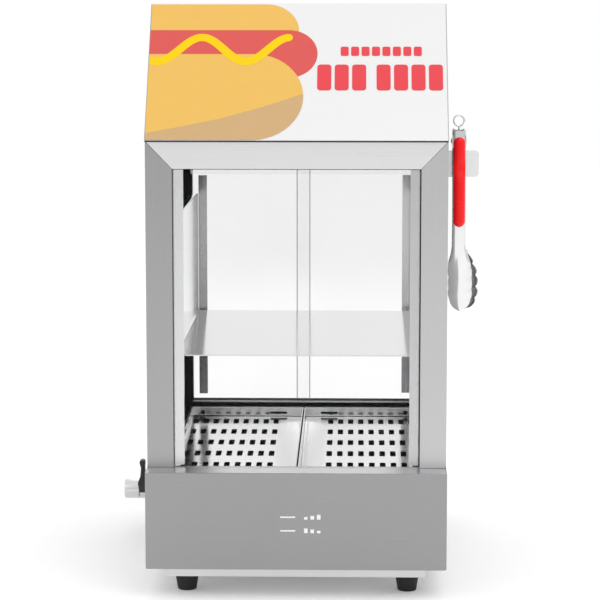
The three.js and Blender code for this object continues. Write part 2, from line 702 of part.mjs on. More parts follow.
// The leaf's half width at a share t of its length, with a scalloped rim and a round end.
function leafHalfWidth(t) {
  const swell = TONGS.width / 2 + (HEAD.halfWidth - TONGS.width / 2) * Math.min(1, t / 0.35);
  const scallop = 0.7 * Math.abs(Math.sin(Math.PI * t * HEAD.teeth));
  const round = t > 0.75 ? Math.sqrt(1 - ((t - 0.75) / 0.26) ** 2) : 1;
  return (swell - scallop) * round;
}

// A long leaf at the gripping end of one arm, bent to the same bow and swung out to x.
function head(side, x) {
  const steps = HEAD.teeth * 4;
  const length = HEAD.top - TONGS.tip;
  const rim = (sign) => Array.from({ length: steps + 1 }, (_, i) => {
    const t = i / steps;
    const middle = TONGS.x + (x - TONGS.x) * Math.min(1, t / 0.5);
    return [middle + sign * leafHalfWidth(t), HEAD.top - t * length];
  });
  const leaf = frontPlate(outline([...rim(1), ...rim(-1).reverse()]), TONGS_Y - 40, TONGS_Y + 40);
  const half = TONGS.sheet / 2;
  const sheet = bowedStrip(side, -half, half, HEAD.top + 2, TONGS.tip - 2, x, 60);
  return toGeometry(toSolid(leaf).intersect(toSolid(sheet)));
}

// One arm: a bowed strip, its head, and two ears that the pivot pin passes through.
function tongArm(side, headX, earInset) {
  const half = TONGS.sheet / 2;
  const width = TONGS.width - 2 * earInset;
  const strip = bowedStrip(side, -half, half, TONGS.top, HEAD.top - 6, TONGS.x, width);
  const near = TONGS_Y + side * 9.8;
  const far = TONGS_Y - side * 7.5;
  const ears = [-1, 1].map((end) => {
    const outer = TONGS.x + end * width / 2;
    const inner = outer - end;
    return boxGeometry(
      Math.min(outer, inner), Math.max(outer, inner), Math.min(near, far), Math.max(near, far),
      TONGS.pivot - 6.5, TONGS.pivot + 6.5,
    );
  });
  const pinHole = roundBarAlongX(2.3, TONGS.x - 12, TONGS.x + 12, TONGS_Y, TONGS.pivot, 12);
  return combine([strip, head(side, headX), ...ears], [pinHole]);
}

function pivotPin() {
  const half = TONGS.width / 2 + GAP;
  return turnedAlongX([
    [0, TONGS.x - half - 0.8], [3, TONGS.x - half - 0.8], [3, TONGS.x - half],
    [1.9, TONGS.x - half], [1.9, TONGS.x + half], [3, TONGS.x + half],
    [3, TONGS.x + half + 0.8], [0, TONGS.x + half + 0.8],
  ], TONGS_Y, TONGS.pivot, 12);
}

function pivotSpring() {
  return turnedAlongX([
    [2.6, TONGS.x - 4.5], [7.2, TONGS.x - 4.5], [7.2, TONGS.x + 4.5], [2.6, TONGS.x + 4.5],
    [2.6, TONGS.x - 4.5],
  ], TONGS_Y, TONGS.pivot, 16);
}

// The ring that is pulled to lock the tongs shut, on a short stem.
function pullRing() {
  const z = RING.top - RING.radius - RING.wire;
  const ring = new THREE.TorusGeometry(RING.radius, RING.wire, 6, 18);
  ring.rotateX(Math.PI / 2).translate(TONGS.x, TONGS_Y, z);
  const stem = turnedAlongZ([
    [0, TONGS.pivot + 8], [1.2, TONGS.pivot + 8], [1.2, z - RING.radius + 0.3],
    [0, z - RING.radius + 0.3],
  ], TONGS.x, TONGS_Y, 8);
  return combine([ring, stem]);
}

function addTongs() {
  place('tong_bracket', bracket(), BRIGHT_STEEL);
  const arms = [['front', -1, HEAD.frontX, 0], ['rear', 1, HEAD.rearX, 1.3]];
  arms.forEach(([end, side, headX, earInset]) => {
    place(`tong_arm_${end}`, tongArm(side, headX, earInset), BRIGHT_STEEL);
    const near = TONGS.sheet / 2 + GAP;
    place(`tong_grip_${end}`, bowedStrip(
      side, near, near + GRIP.thickness, GRIP.top, GRIP.bottom, TONGS.x, GRIP.width - earInset,
    ), RED_GRIP);
  });
  place('tong_pivot_pin', pivotPin(), NICKEL);
  place('tong_spring', pivotSpring(), NICKEL);
  place('tong_pull_ring', pullRing(), NICKEL);
}

addBase();
addHeater();
addDrainTap();
addControls();
addInterior();
addCabinet();
addDoors();
addTongs();

export default appliance;
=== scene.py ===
"""Looks for a countertop hot dog steamer with a bun warmer.

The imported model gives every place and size. This script gives each of its pieces the
surface, the rounded edges and the fine detail of the real one, in metres, in the same frame.
"""

import json
import logging
import math
from dataclasses import dataclass, field
from enum import Enum
from typing import Callable, Iterable, Sequence

import bmesh
import bpy
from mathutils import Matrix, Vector


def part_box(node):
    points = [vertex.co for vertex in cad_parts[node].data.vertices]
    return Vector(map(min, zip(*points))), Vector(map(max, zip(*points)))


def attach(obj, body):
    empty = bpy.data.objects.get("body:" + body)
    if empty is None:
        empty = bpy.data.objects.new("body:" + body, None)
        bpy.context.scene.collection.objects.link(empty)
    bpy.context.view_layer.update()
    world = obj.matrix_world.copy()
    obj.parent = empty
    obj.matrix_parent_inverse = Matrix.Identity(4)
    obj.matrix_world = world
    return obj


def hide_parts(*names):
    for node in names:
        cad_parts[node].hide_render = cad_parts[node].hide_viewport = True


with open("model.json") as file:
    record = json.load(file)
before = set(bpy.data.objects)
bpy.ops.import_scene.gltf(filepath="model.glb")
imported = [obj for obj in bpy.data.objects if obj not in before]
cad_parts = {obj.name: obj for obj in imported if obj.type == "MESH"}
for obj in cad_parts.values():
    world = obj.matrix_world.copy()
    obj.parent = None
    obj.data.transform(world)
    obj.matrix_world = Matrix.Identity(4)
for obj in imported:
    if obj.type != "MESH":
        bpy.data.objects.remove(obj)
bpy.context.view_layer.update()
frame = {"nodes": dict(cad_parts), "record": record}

LOG = logging.getLogger("steamer")
MM = 0.001
Point2 = tuple[float, float]
Point3 = tuple[float, float, float]
Colour = tuple[float, float, float]


class Side(Enum):
    """The two sides of the cabinet, seen by the customer."""

    LEFT = -1
    RIGHT = 1

    @property
    def tag(self) -> str:
        """The side's name as the frame writes it."""
        return self.name.lower()


class Plane(Enum):
    """The plane that an outline is drawn in."""

    FRONT = "xz"
    SIDE = "yz"
    TOP = "xy"


class Grain(Enum):
    """The direction that a steel sheet was brushed in, as noise scales per axis."""

    ALONG_X = (6.0, 900.0, 900.0)
    ALONG_Y = (900.0, 6.0, 900.0)
    ALONG_Z = (900.0, 900.0, 6.0)


# ------------------------------------------------------------------ the frame's boxes
@dataclass(frozen=True)
class Box:
    """A node's box at rest, in metres."""

    lo: Vector
    hi: Vector

    @classmethod
    def of(cls, node: str) -> "Box":
        """Read a node's box from the frame.

        Args:
            node: The node's name.

        Returns:
            Its box.
        """
        lo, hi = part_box(node)
        return cls(Vector(lo), Vector(hi))

    @property
    def centre(self) -> Vector:
        """The middle of the box."""
        return (self.lo + self.hi) / 2

    @property
    def size(self) -> Vector:
        """The box's three lengths."""
        return self.hi - self.lo


# ------------------------------------------------------------------ mesh tools
def make_object(name: str, mesh: bpy.types.Mesh) -> bpy.types.Object:
    """Link a mesh to the scene as a new object.

    Args:
        name: The piece's name.
        mesh: Its mesh.

    Returns:
        The object.
    """
    piece = bpy.data.objects.new(name, mesh)
    bpy.context.scene.collection.objects.link(piece)
    return piece


def from_faces(
    name: str,
    points: Sequence[Sequence[float]],
    faces: Sequence[Sequence[int]],
    crease: float = 35.0,
) -> bpy.types.Object:
    """Make a piece from points and faces, smooth except at sharp edges.

    Args:
        name: The piece's name.
        points: The corner points.
        faces: Each face's point numbers.
        crease: The angle in degrees above which an edge stays sharp.

    Returns:
        The object.
    """
    mesh = bpy.data.meshes.new(name)
    mesh.from_pydata([tuple(p) for p in points], [], [tuple(f) for f in faces])
    mesh.validate()
    work = bmesh.new()
    work.from_mesh(mesh)
    bmesh.ops.remove_doubles(work, verts=work.verts, dist=1e-7)
    bmesh.ops.recalc_face_normals(work, faces=work.faces)
    work.to_mesh(mesh)
    work.free()
    mesh.shade_smooth()
    mesh.set_sharp_from_angle(angle=math.radians(crease))
    return make_object(name, mesh)


def lift(plane: Plane, point: Point2, depth: float) -> Point3:
    """Place a point of an outline at a depth across its plane.

    Args:
        plane: The outline's plane.
        point: The point in it.
        depth: The coordinate along the axis that the plane leaves out.

    Returns:
        The point in space.
    """
    a, b = point
    if plane is Plane.FRONT:
        return a, depth, b
    if plane is Plane.SIDE:
        return depth, a, b
    return a, b, depth


def prism(
    name: str, plane: Plane, outline: Sequence[Point2], start: float, end: float
) -> bpy.types.Object:
    """Make an outline solid between two depths.

    Args:
        name: The piece's name.
        plane: The outline's plane.
        outline: Its points in order.
        start: The first depth.
        end: The last depth.

    Returns:
        The object.
    """
    count = len(outline)
    points = [lift(plane, p, start) for p in outline] + [lift(plane, p, end) for p in outline]
    faces: list[Sequence[int]] = [tuple(range(count)), tuple(range(count, 2 * count))[::-1]]
    for i in range(count):
        j = (i + 1) % count
        faces.append((i, j, count + j, count + i))
    return from_faces(name, points, faces)


def loft(
    name: str, rings: Sequence[Sequence[Point3]], capped: bool = True, joined: bool = False
) -> bpy.types.Object:
    """Skin a row of rings that all have the same number of points.

    Args:
        name: The piece's name.
        rings: The rings, each a closed loop of points.
        capped: Whether the first and last rings are closed with a face.
        joined: Whether the last ring joins back to the first.

    Returns:
        The object.
    """
    count = len(rings[0])
    points = [p for ring in rings for p in ring]
    faces: list[Sequence[int]] = []
    steps = len(rings) if joined else len(rings) - 1
    for r in range(steps):
        low = r * count
        high = ((r + 1) % len(rings)) * count
        for i in range(count):
            j = (i + 1) % count
            faces.append((low + i, low + j, high + j, high + i))
    if capped and not joined:
        faces.append(tuple(range(count))[::-1])
        faces.append(tuple(range(len(points) - count, len(points))))
    return from_faces(name, points, faces)


def turned(
    name: str,
    profile: Sequence[Point2],
    origin: Point3,
    axis: Point3,
    segments: int = 64,
    closed: bool = False,
) -> bpy.types.Object:
    """Turn a profile about an axis.

    Args:
        name: The piece's name.
        profile: Pairs of radius and distance along the axis.
        origin: The point that distances are counted from.
        axis: The axis's direction.
        segments: The number of steps round.
        closed: Whether the profile closes on itself, as a ring's does.

    Returns:
        The object.
    """
    turn = Vector((0, 0, 1)).rotation_difference(Vector(axis)).to_matrix()
    base = Vector(origin)
    rings = []
    for radius, along in profile:
        ring = []
        for i in range(segments):
            angle = math.tau * i / segments
            spot = Vector((radius * math.cos(angle), radius * math.sin(angle), along))
            ring.append(tuple(base + turn @ spot))
        rings.append(ring)
    return loft(name, rings, capped=not closed, joined=closed)


def tube(
    name: str, path: Sequence[Vector], radius: float, sides: int = 12, joined: bool = False
) -> bpy.types.Object:
    """Sweep a round section along a path.

    Args:
        name: The piece's name.
        path: The path's points.
        radius: The section's radius.
        sides: The section's number of sides.
        joined: Whether the path closes on itself.

    Returns:
        The object.
    """
    rings = []
    side = None
    for i, spot in enumerate(path):
        before = path[i - 1] if i or joined else spot
        after = path[(i + 1) % len(path)] if i + 1 < len(path) or joined else spot
        ahead = (after - before).normalized()
        if side is None:
            side = ahead.orthogonal().normalized()
        side = (side - ahead * side.dot(ahead)).normalized()
        other = ahead.cross(side)
        rings.append([
            tuple(spot + radius * (math.cos(a) * side + math.sin(a) * other))
            for a in (math.tau * k / sides for k in range(sides))
        ])
    return loft(name, rings, joined=joined)


def smooth(share: float) -> float:
    """Ease a share that runs from 0 to 1, and hold it at 1 beyond.

    Args:
        share: The share.

    Returns:
        The eased share.
    """
    held = min(1.0, share)
    return held * held * (3 - 2 * held)


def arc(centre: Point2, radius: float, start: float, end: float, steps: int = 6) -> list[Point2]:
    """Points along an arc.

    Args:
        centre: The arc's centre.
        radius: Its radius.
        start: The first angle in degrees.
        end: The last angle in degrees.
        steps: The number of steps.

    Returns:
        The points.
    """
    angles = [math.radians(start + (end - start) * i / steps) for i in range(steps + 1)]
    return [(centre[0] + radius * math.cos(a), centre[1] + radius * math.sin(a)) for a in angles]


def rounded_box(
    a0: float, a1: float, b0: float, b1: float, radius: float, steps: int = 5
) -> list[Point2]:
    """A rectangle's outline with round corners.

    Args:
        a0: The low first coordinate.
        a1: The high first coordinate.
        b0: The low second coordinate.
        b1: The high second coordinate.
        radius: The corners' radius.
        steps: The steps of each corner.

    Returns:
        The outline's points.
    """
    return (
        arc((a1 - radius, b0 + radius), radius, -90, 0, steps)
        + arc((a1 - radius, b1 - radius), radius, 0, 90, steps)
        + arc((a0 + radius, b1 - radius), radius, 90, 180, steps)
        + arc((a0 + radius, b0 + radius), radius, 180, 270, steps)
    )


def bend(path: Sequence[Point2], radius: float, steps: int = 5) -> list[Point2]:
    """Round the inner corners of an open path.

    Args:
        path: The path's points.
        radius: The bend's radius.
        steps: The steps of each bend.

    Returns:
        The rounded path.
    """
    rounded = [path[0]]
    for before, corner, after in zip(path, path[1:], path[2:]):
        here = Vector(corner)
        back = (Vector(before) - here).normalized()
        ahead = (Vector(after) - here).normalized()
        half = back.angle(ahead) / 2
        reach = radius / math.tan(half)
        start = here + back * reach
        end = here + ahead * reach
        for i in range(steps + 1):
            t = i / steps
            spot = start * (1 - t) ** 2 + here * 2 * t * (1 - t) + end * t ** 2
            rounded.append((spot.x, spot.y))
    rounded.append(path[-1])
    return rounded


def bent_sheet(
    name: str,
    plane: Plane,
    path: Sequence[Point2],
    thickness: float,
    start: float,
    end: float,
    radius: float,
) -> bpy.types.Object:
    """Fold a sheet along a path and make it solid across its width.

    Args:
        name: The piece's name.
        plane: The plane that the path is drawn in.
        path: The sheet's outer face, with the sheet on the left of the way along it.
        thickness: The sheet's thickness.
        start: The first depth.
        end: The last depth.
        radius: The bends' radius on the outer face.

    Returns:
        The object.
    """
    outer = bend(path, radius)
    inner = []
    for i, spot in enumerate(outer):
        here = Vector(spot)
        before = Vector(outer[max(i - 1, 0)])
        after = Vector(outer[min(i + 1, len(outer) - 1)])
        ahead = (after - before).normalized()
        inner.append(tuple(here + Vector((-ahead.y, ahead.x)) * thickness))
    return prism(name, plane, [*outer, *reversed(inner)], start, end)


def soften(
    piece: bpy.types.Object, width: float, segments: int = 3, angle: float = 30.0
) -> bpy.types.Object:
    """Round a piece's sharp edges.

    Args:
        piece: The piece.
        width: How far the rounding reaches from each edge.
        segments: Its number of steps.
        angle: The angle in degrees above which an edge is rounded.

    Returns:
        The same piece.
    """
    bevel = piece.modifiers.new("edges", "BEVEL")
    bevel.width = width
    bevel.segments = segments
    bevel.limit_method = "ANGLE"
    bevel.angle_limit = math.radians(angle)
    bevel.harden_normals = True
    return piece


def join(name: str, parts: Sequence[bpy.types.Object]) -> bpy.types.Object:
    """Make one piece of several.

    Args:
        name: The joined piece's name.
        parts: The objects, which are used up.

    Returns:
        The joined piece.
    """
    work = bmesh.new()
    for part in parts:
        work.from_mesh(part.data)
    mesh = bpy.data.meshes.new(name)
    work.to_mesh(mesh)
    work.free()
    for part in parts:
        bpy.data.meshes.remove(part.data)
    return make_object(name, mesh)


def cut(piece: bpy.types.Object, cutters: Sequence[bpy.types.Object]) -> bpy.types.Object:
    """Cut holes through a piece, for good.

    Args:
        piece: The piece to cut.
        cutters: The shapes of the holes, which are used up.

    Returns:
        The same piece.
    """
    tool = join("cutter", cutters)
    boolean = piece.modifiers.new("holes", "BOOLEAN")
    boolean.operation = "DIFFERENCE"
    boolean.solver = "EXACT"
    boolean.object = tool
    graph = bpy.context.evaluated_depsgraph_get()
    mesh = bpy.data.meshes.new_from_object(piece.evaluated_get(graph))
    piece.modifiers.clear()
    piece.data = mesh
    bpy.data.meshes.remove(tool.data)
    mesh.shade_smooth()
    mesh.set_sharp_from_angle(angle=math.radians(35))
    return piece


# ------------------------------------------------------------------ shader tools
class Nodes:
    """A small hand for building node trees."""

    def __init__(self, tree: bpy.types.NodeTree) -> None:
        """Start on a tree.

        Args:
            tree: The tree to build in.
        """
        self.tree = tree

    def add(self, kind: str, **settings: object) -> bpy.types.Node:
        """Add a node.

        Args:
            kind: The node's type name.
            **settings: Properties to set on it.

        Returns:
            The node.
        """
        node = self.tree.nodes.new(kind)
        for key, value in settings.items():
            setattr(node, key, value)
        return node

    def link(self, source: bpy.types.NodeSocket, target: bpy.types.NodeSocket) -> None:
        """Join two sockets."""
        self.tree.links.new(source, target)

    def math(self, operation: str, first: object, second: object = 0.0) -> bpy.types.NodeSocket:
        """Add a maths node.

        Args:
            operation: What it does.
            first: A socket or a number.
            second: A socket or a number.

        Returns:
            Its output.
        """
        node = self.add("ShaderNodeMath", operation=operation)
        for slot, value in zip(node.inputs, (first, second)):
            if isinstance(value, bpy.types.NodeSocket):
                self.link(value, slot)
            else:
                slot.default_value = value
        return node.outputs[0]

    def swing(self, value: bpy.types.NodeSocket, amount: object) -> bpy.types.NodeSocket:
        """Turn a value round 0.5 into a change either way.

        Args:
            value: The value.
            amount: A socket or a number that scales the change.

        Returns:
            The change.
        """
        return self.math("MULTIPLY", self.math("SUBTRACT", value, 0.5), amount)

    def mix(self, amount: object, first: object, second: object) -> bpy.types.NodeSocket:
        """Mix two colours.

        Args:
            amount: A socket or a number.
            first: A socket or a colour.
            second: A socket or a colour.

        Returns:
            The mixed colour.
        """
        node = self.add("ShaderNodeMix", data_type="RGBA")
        for slot, value in ((node.inputs[0], amount), (node.inputs[6], first),
                            (node.inputs[7], second)):
            if isinstance(value, bpy.types.NodeSocket):
                self.link(value, slot)
            elif isinstance(value, tuple):
                slot.default_value = (*value, 1.0)
            else:
                slot.default_value = value
        return node.outputs[2]

    def noise(self, place: bpy.types.NodeSocket, scale: float, detail: float) -> (
            bpy.types.NodeSocket):
        """Add a noise texture.

        Args:
            place: The coordinates.
            scale: Its scale.
            detail: Its detail.

        Returns:
            The noise's value.
        """
        node = self.add("ShaderNodeTexNoise")
        self.link(place, node.inputs["Vector"])
        node.inputs["Scale"].default_value = scale
        node.inputs["Detail"].default_value = detail
        return node.outputs["Fac"]

    def range(self, value: bpy.types.NodeSocket, low: float, high: float, start: float,
              end: float) -> bpy.types.NodeSocket:
        """Map a value from one range to another, clamped.

        Args:
            value: The value.
            low: The input that gives start.
            high: The input that gives end.
            start: The output at low.
            end: The output at high.

        Returns:
            The mapped value.
        """
        node = self.add("ShaderNodeMapRange")
        self.link(value, node.inputs[0])
        for slot, number in zip(node.inputs[1:5], (low, high, start, end)):
            slot.default_value = number
        return node.outputs[0]


Build = Callable[[Nodes, bpy.types.Node, bpy.types.Node], None]


def shared_group(
    name: str, inputs: Sequence[tuple[str, str, object]], outputs: Sequence[tuple[str, str]],
    build: Build,
) -> bpy.types.NodeTree:
    """Make a shader node group once.

    Args:
        name: The group's name.
        inputs: Each input's name, socket type and value.
        outputs: Each output's name and socket type.
        build: The function that fills the group.

    Returns:
        The group.
    """
    group = bpy.data.node_groups.new(name, "ShaderNodeTree")
    for label, kind, value in inputs:
        socket = group.interface.new_socket(name=label, in_out="INPUT", socket_type=kind)
        socket.default_value = value
    for label, kind in outputs:
        group.interface.new_socket(name=label, in_out="OUTPUT", socket_type=kind)
    nodes = Nodes(group)
    build(nodes, nodes.add("NodeGroupInput"), nodes.add("NodeGroupOutput"))
    return group


def fill_brushed(nodes: Nodes, given: bpy.types.Node, made: bpy.types.Node) -> None:
    """Brushed grain: fine lines along one axis, with slow cloudy changes of tone.

    Args:
        nodes: The group's nodes.
        given: The group's inputs.
        made: The group's outputs.
    """
    place = nodes.add("ShaderNodeTexCoord").outputs["Object"]
    stretched = nodes.add("ShaderNodeVectorMath", operation="MULTIPLY")
    nodes.link(place, stretched.inputs[0])
    nodes.link(given.outputs["Stretch"], stretched.inputs[1])
    lines = nodes.noise(stretched.outputs[0], 1.0, 3.0)
    cloud = nodes.noise(place, 7.0, 2.0)
    smear = nodes.noise(place, 38.0, 4.0)
    tone = nodes.swing(lines, given.outputs["Lines"])
    drift = nodes.swing(cloud, given.outputs["Clouds"])
    factor = nodes.math("ADD", nodes.math("ADD", tone, drift), 1.0)
    scaled = nodes.add("ShaderNodeVectorMath", operation="SCALE")
    nodes.link(given.outputs["Colour"], scaled.inputs[0])
    nodes.link(factor, scaled.inputs["Scale"])
    nodes.link(scaled.outputs[0], made.inputs["Colour"])
    rough = nodes.swing(smear, given.outputs["Smears"])
    streak = nodes.swing(lines, 0.12)
    total = nodes.math("ADD", nodes.math("ADD", rough, streak), given.outputs["Roughness"])
    nodes.link(nodes.math("MAXIMUM", total, 0.05), made.inputs["Roughness"])
    nodes.link(lines, made.inputs["Height"])


def fill_edge_wear(nodes: Nodes, given: bpy.types.Node, made: bpy.types.Node) -> None:
    """Edge wear: corners rubbed to another colour, found where a rounded normal turns away.

    Args:
        nodes: The group's nodes.
        given: The group's inputs.
        made: The group's outputs.
    """
    flat = nodes.add("ShaderNodeNewGeometry").outputs["Normal"]
    place = nodes.add("ShaderNodeTexCoord").outputs["Object"]
    rounded = nodes.add("ShaderNodeBevel", samples=4)
    rounded.inputs["Radius"].default_value = 0.7 * MM
    turn = nodes.add("ShaderNodeVectorMath", operation="DOT_PRODUCT")
    nodes.link(flat, turn.inputs[0])
    nodes.link(rounded.outputs[0], turn.inputs[1])
    edge = nodes.range(turn.outputs["Value"], 0.99, 0.82, 0.0, 1.0)
    broken = nodes.range(nodes.noise(place, 260.0, 5.0), 0.35, 0.65, 0.3, 1.0)
    mask = nodes.math("MULTIPLY", nodes.math("MULTIPLY", edge, broken), given.outputs["Amount"])
    nodes.link(nodes.mix(mask, given.outputs["Colour"], given.outputs["Worn"]),
               made.inputs["Colour"])


def fill_moulded(nodes: Nodes, given: bpy.types.Node, made: bpy.types.Node) -> None:
    """Moulded surface: fine pebbling, faint mottling and handling marks.

    Args:
        nodes: The group's nodes.
        given: The group's inputs.
        made: The group's outputs.
    """
    place = nodes.add("ShaderNodeTexCoord").outputs["Object"]
    pebble = nodes.noise(place, 1400.0, 2.0)
    mottle = nodes.noise(place, 60.0, 3.0)
    rubbed = nodes.range(nodes.noise(place, 22.0, 4.0), 0.42, 0.7, 0.0, 1.0)
    factor = nodes.math("ADD", nodes.swing(mottle, given.outputs["Mottle"]), 1.0)
    scaled = nodes.add("ShaderNodeVectorMath", operation="SCALE")
    nodes.link(given.outputs["Colour"], scaled.inputs[0])
    nodes.link(factor, scaled.inputs["Scale"])
    nodes.link(scaled.outputs[0], made.inputs["Colour"])
    polish = nodes.math("MULTIPLY", rubbed, given.outputs["Rubbed"])
    nodes.link(nodes.math("SUBTRACT", given.outputs["Roughness"], polish),
               made.inputs["Roughness"])
    nodes.link(pebble, made.inputs["Height"])


class Effects:
    """The node groups that several finishes share."""

    def __init__(self) -> None:
        """Build each group once."""
        colour, value, vector = "NodeSocketColor", "NodeSocketFloat", "NodeSocketVector"
        self.brushed = shared_group(
            "Brushed grain",
            [("Colour", colour, (0.5, 0.5, 0.5, 1.0)), ("Roughness", value, 0.3),
             ("Stretch", vector, Grain.ALONG_X.value), ("Lines", value, 0.1),
             ("Clouds", value, 0.05), ("Smears", value, 0.1)],
            [("Colour", colour), ("Roughness", value), ("Height", value)], fill_brushed)
        self.edge_wear = shared_group(
            "Edge wear",
            [("Colour", colour, (0.5, 0.5, 0.5, 1.0)), ("Worn", colour, (0.8, 0.8, 0.8, 1.0)),
             ("Amount", value, 0.5)],
            [("Colour", colour)], fill_edge_wear)
        self.moulded = shared_group(
            "Moulded surface",
            [("Colour", colour, (0.5, 0.5, 0.5, 1.0)), ("Roughness", value, 0.4),
             ("Mottle", value, 0.1), ("Rubbed", value, 0.1)],
            [("Colour", colour), ("Roughness", value), ("Height", value)], fill_moulded)


def new_material(name: str) -> tuple[bpy.types.Material, Nodes, bpy.types.Node]:
    """Start a material on a plain Principled shader.

    Args:
        name: The material's name.

    Returns:
        The material, its nodes and its shader.
    """
    material = bpy.data.materials.new(name)
    material.use_nodes = True
    nodes = Nodes(material.node_tree)
    return material, nodes, material.node_tree.nodes["Principled BSDF"]


def use_group(nodes: Nodes, group: bpy.types.NodeTree, **values: object) -> bpy.types.Node:
    """Place a shared group in a material.

    Args:
        nodes: The material's nodes.
        group: The group.
        **values: Its inputs, a colour as three numbers.

    Returns:
        The group's node.
    """
    node = nodes.add("ShaderNodeGroup", node_tree=group)
    for label, value in values.items():
        socket = node.inputs[label]
        if isinstance(value, bpy.types.NodeSocket):
            nodes.link(value, socket)
        elif socket.type == "RGBA":
            socket.default_value = (*value, 1.0)
        else:
            socket.default_value = value
    return node


def add_bump(nodes: Nodes, shader: bpy.types.Node, height: bpy.types.NodeSocket,
             depth: float) -> None:
    """Feed a height to the shader's normal.

    Args:
        nodes: The material's nodes.
        shader: Its shader.
        height: The height.
        depth: The bump's distance in metres.
    """
    bump = nodes.add("ShaderNodeBump")
    bump.inputs["Strength"].default_value = 0.6
    bump.inputs["Distance"].default_value = depth
    nodes.link(height, bump.inputs["Height"])
    nodes.link(bump.outputs["Normal"], shader.inputs["Normal"])


# ------------------------------------------------------------------ finishes
@dataclass(frozen=True)
class BrushedSteel:
    """Stainless sheet, brushed one way."""

    name: str
    tone: float
    grain: Grain
    roughness: float = 0.3
    lines: float = 0.07
    clouds: float = 0.05
    smears: float = 0.05
    wear: float = 0.35

    def build(self, effects: Effects) -> bpy.types.Material:
        """Make the material.

        Args:
            effects: The shared node groups.

        Returns:
            The material.
        """
        material, nodes, shader = new_material(self.name)
        colour = (self.tone, self.tone, self.tone * 1.01)
        brushed = use_group(
            nodes, effects.brushed, Colour=colour, Roughness=self.roughness,
            Stretch=self.grain.value, Lines=self.lines, Clouds=self.clouds, Smears=self.smears)
        bright = min(1.0, self.tone * 1.5 + 0.12)
        worn = use_group(nodes, effects.edge_wear, Colour=brushed.outputs["Colour"],
                         Worn=(bright, bright, bright), Amount=self.wear)
        nodes.link(worn.outputs["Colour"], shader.inputs["Base Color"])
        nodes.link(brushed.outputs["Roughness"], shader.inputs["Roughness"])
        shader.inputs["Metallic"].default_value = 1.0
        add_bump(nodes, shader, brushed.outputs["Height"], 0.02 * MM)
        return material


@dataclass(frozen=True)
class Moulded:
    """Moulded plastic, rubber or powder coat."""

    name: str
    colour: Colour
    roughness: float
    mottle: float = 0.12
    rubbed: float = 0.1
    wear: float = 0.3
    worn: Colour = (0.3, 0.3, 0.3)
    pebble: float = 0.03
    coat: float = 0.0
    shine: float = 0.5

    def build(self, effects: Effects) -> bpy.types.Material:
        """Make the material.

        Args:
            effects: The shared node groups.

        Returns:
            The material.
        """
        material, nodes, shader = new_material(self.name)
        moulded = use_group(nodes, effects.moulded, Colour=self.colour,
                            Roughness=self.roughness, Mottle=self.mottle, Rubbed=self.rubbed)
        worn = use_group(nodes, effects.edge_wear, Colour=moulded.outputs["Colour"],
                         Worn=self.worn, Amount=self.wear)
        nodes.link(worn.outputs["Colour"], shader.inputs["Base Color"])
        nodes.link(moulded.outputs["Roughness"], shader.inputs["Roughness"])
        shader.inputs["Coat Weight"].default_value = self.coat
        shader.inputs["Coat Roughness"].default_value = 0.12
        shader.inputs["Specular IOR Level"].default_value = self.shine
        add_bump(nodes, shader, moulded.outputs["Height"], self.pebble * MM)
        return material


@dataclass(frozen=True)
class ClearGlass:
    """Clear flat glass: see-through faces and greenish polished edges."""

    name: str
    film: float
    edge: float
    tint: Colour = (0.02, 0.024, 0.022)

    def build(self, effects: Effects) -> bpy.types.Material:
        """Make the material.

        Args:
            effects: The shared node groups, which plain glass leaves unused.

        Returns:
            The material.
        """
        material, nodes, shader = new_material(self.name)
        place = nodes.add("ShaderNodeTexCoord")
        split = nodes.add("ShaderNodeSeparateXYZ")
        nodes.link(place.outputs["Normal"], split.inputs[0])
        facing = nodes.math("ABSOLUTE", split.outputs["Y"])
        rim = nodes.range(facing, 0.5, 0.95, 1.0, 0.0)
        smear = nodes.range(nodes.noise(place.outputs["Object"], 9.0, 5.0), 0.45, 0.75, 0.0, 1.0)
        haze = nodes.math("ADD", nodes.math("MULTIPLY", smear, 0.012), self.film)
        alpha = nodes.math("ADD", nodes.math("MULTIPLY", rim, self.edge - self.film), haze)
        nodes.link(alpha, shader.inputs["Alpha"])
        nodes.link(nodes.mix(rim, self.tint, (0.30, 0.37, 0.35)), shader.inputs["Base Color"])
        nodes.link(nodes.math("ADD", nodes.math("MULTIPLY", smear, 0.05), 0.03),
                   shader.inputs["Roughness"])
        shader.inputs["Specular IOR Level"].default_value = 0.5
        return material


@dataclass(frozen=True)
class ClearPlastic:
    """Clear extruded plastic, faintly mottled."""

    name: str
    colour: Colour

    def build(self, effects: Effects) -> bpy.types.Material:
        """Make the material.

        Args:
            effects: The shared node groups.

        Returns:
            The material.
        """
        material, nodes, shader = new_material(self.name)
        moulded = use_group(nodes, effects.moulded, Colour=self.colour, Roughness=0.06,
                            Mottle=0.02, Rubbed=0.02)
        nodes.link(moulded.outputs["Colour"], shader.inputs["Base Color"])
        nodes.link(moulded.outputs["Roughness"], shader.inputs["Roughness"])
        shader.inputs["Transmission Weight"].default_value = 1.0
        shader.inputs["IOR"].default_value = 1.04
        add_bump(nodes, shader, moulded.outputs["Height"], 0.005 * MM)
        return material


@dataclass(frozen=True)
class Ink:
    """Printed ink under a clear coat."""

    name: str
    colour: Colour
    shade: float = 0.05

    def build(self, effects: Effects) -> bpy.types.Material:
        """Make the material.

        Args:
            effects: The shared node groups.

        Returns:
            The material.
        """
        material, nodes, shader = new_material(self.name)
        moulded = use_group(nodes, effects.moulded, Colour=self.colour, Roughness=0.5,
                            Mottle=self.shade, Rubbed=0.08)
        nodes.link(moulded.outputs["Colour"], shader.inputs["Base Color"])
        nodes.link(moulded.outputs["Roughness"], shader.inputs["Roughness"])
        shader.inputs["Specular IOR Level"].default_value = 0.2
        add_bump(nodes, shader, moulded.outputs["Height"], 0.01 * MM)
        return material


Finish = BrushedSteel | Moulded | ClearGlass | Ink

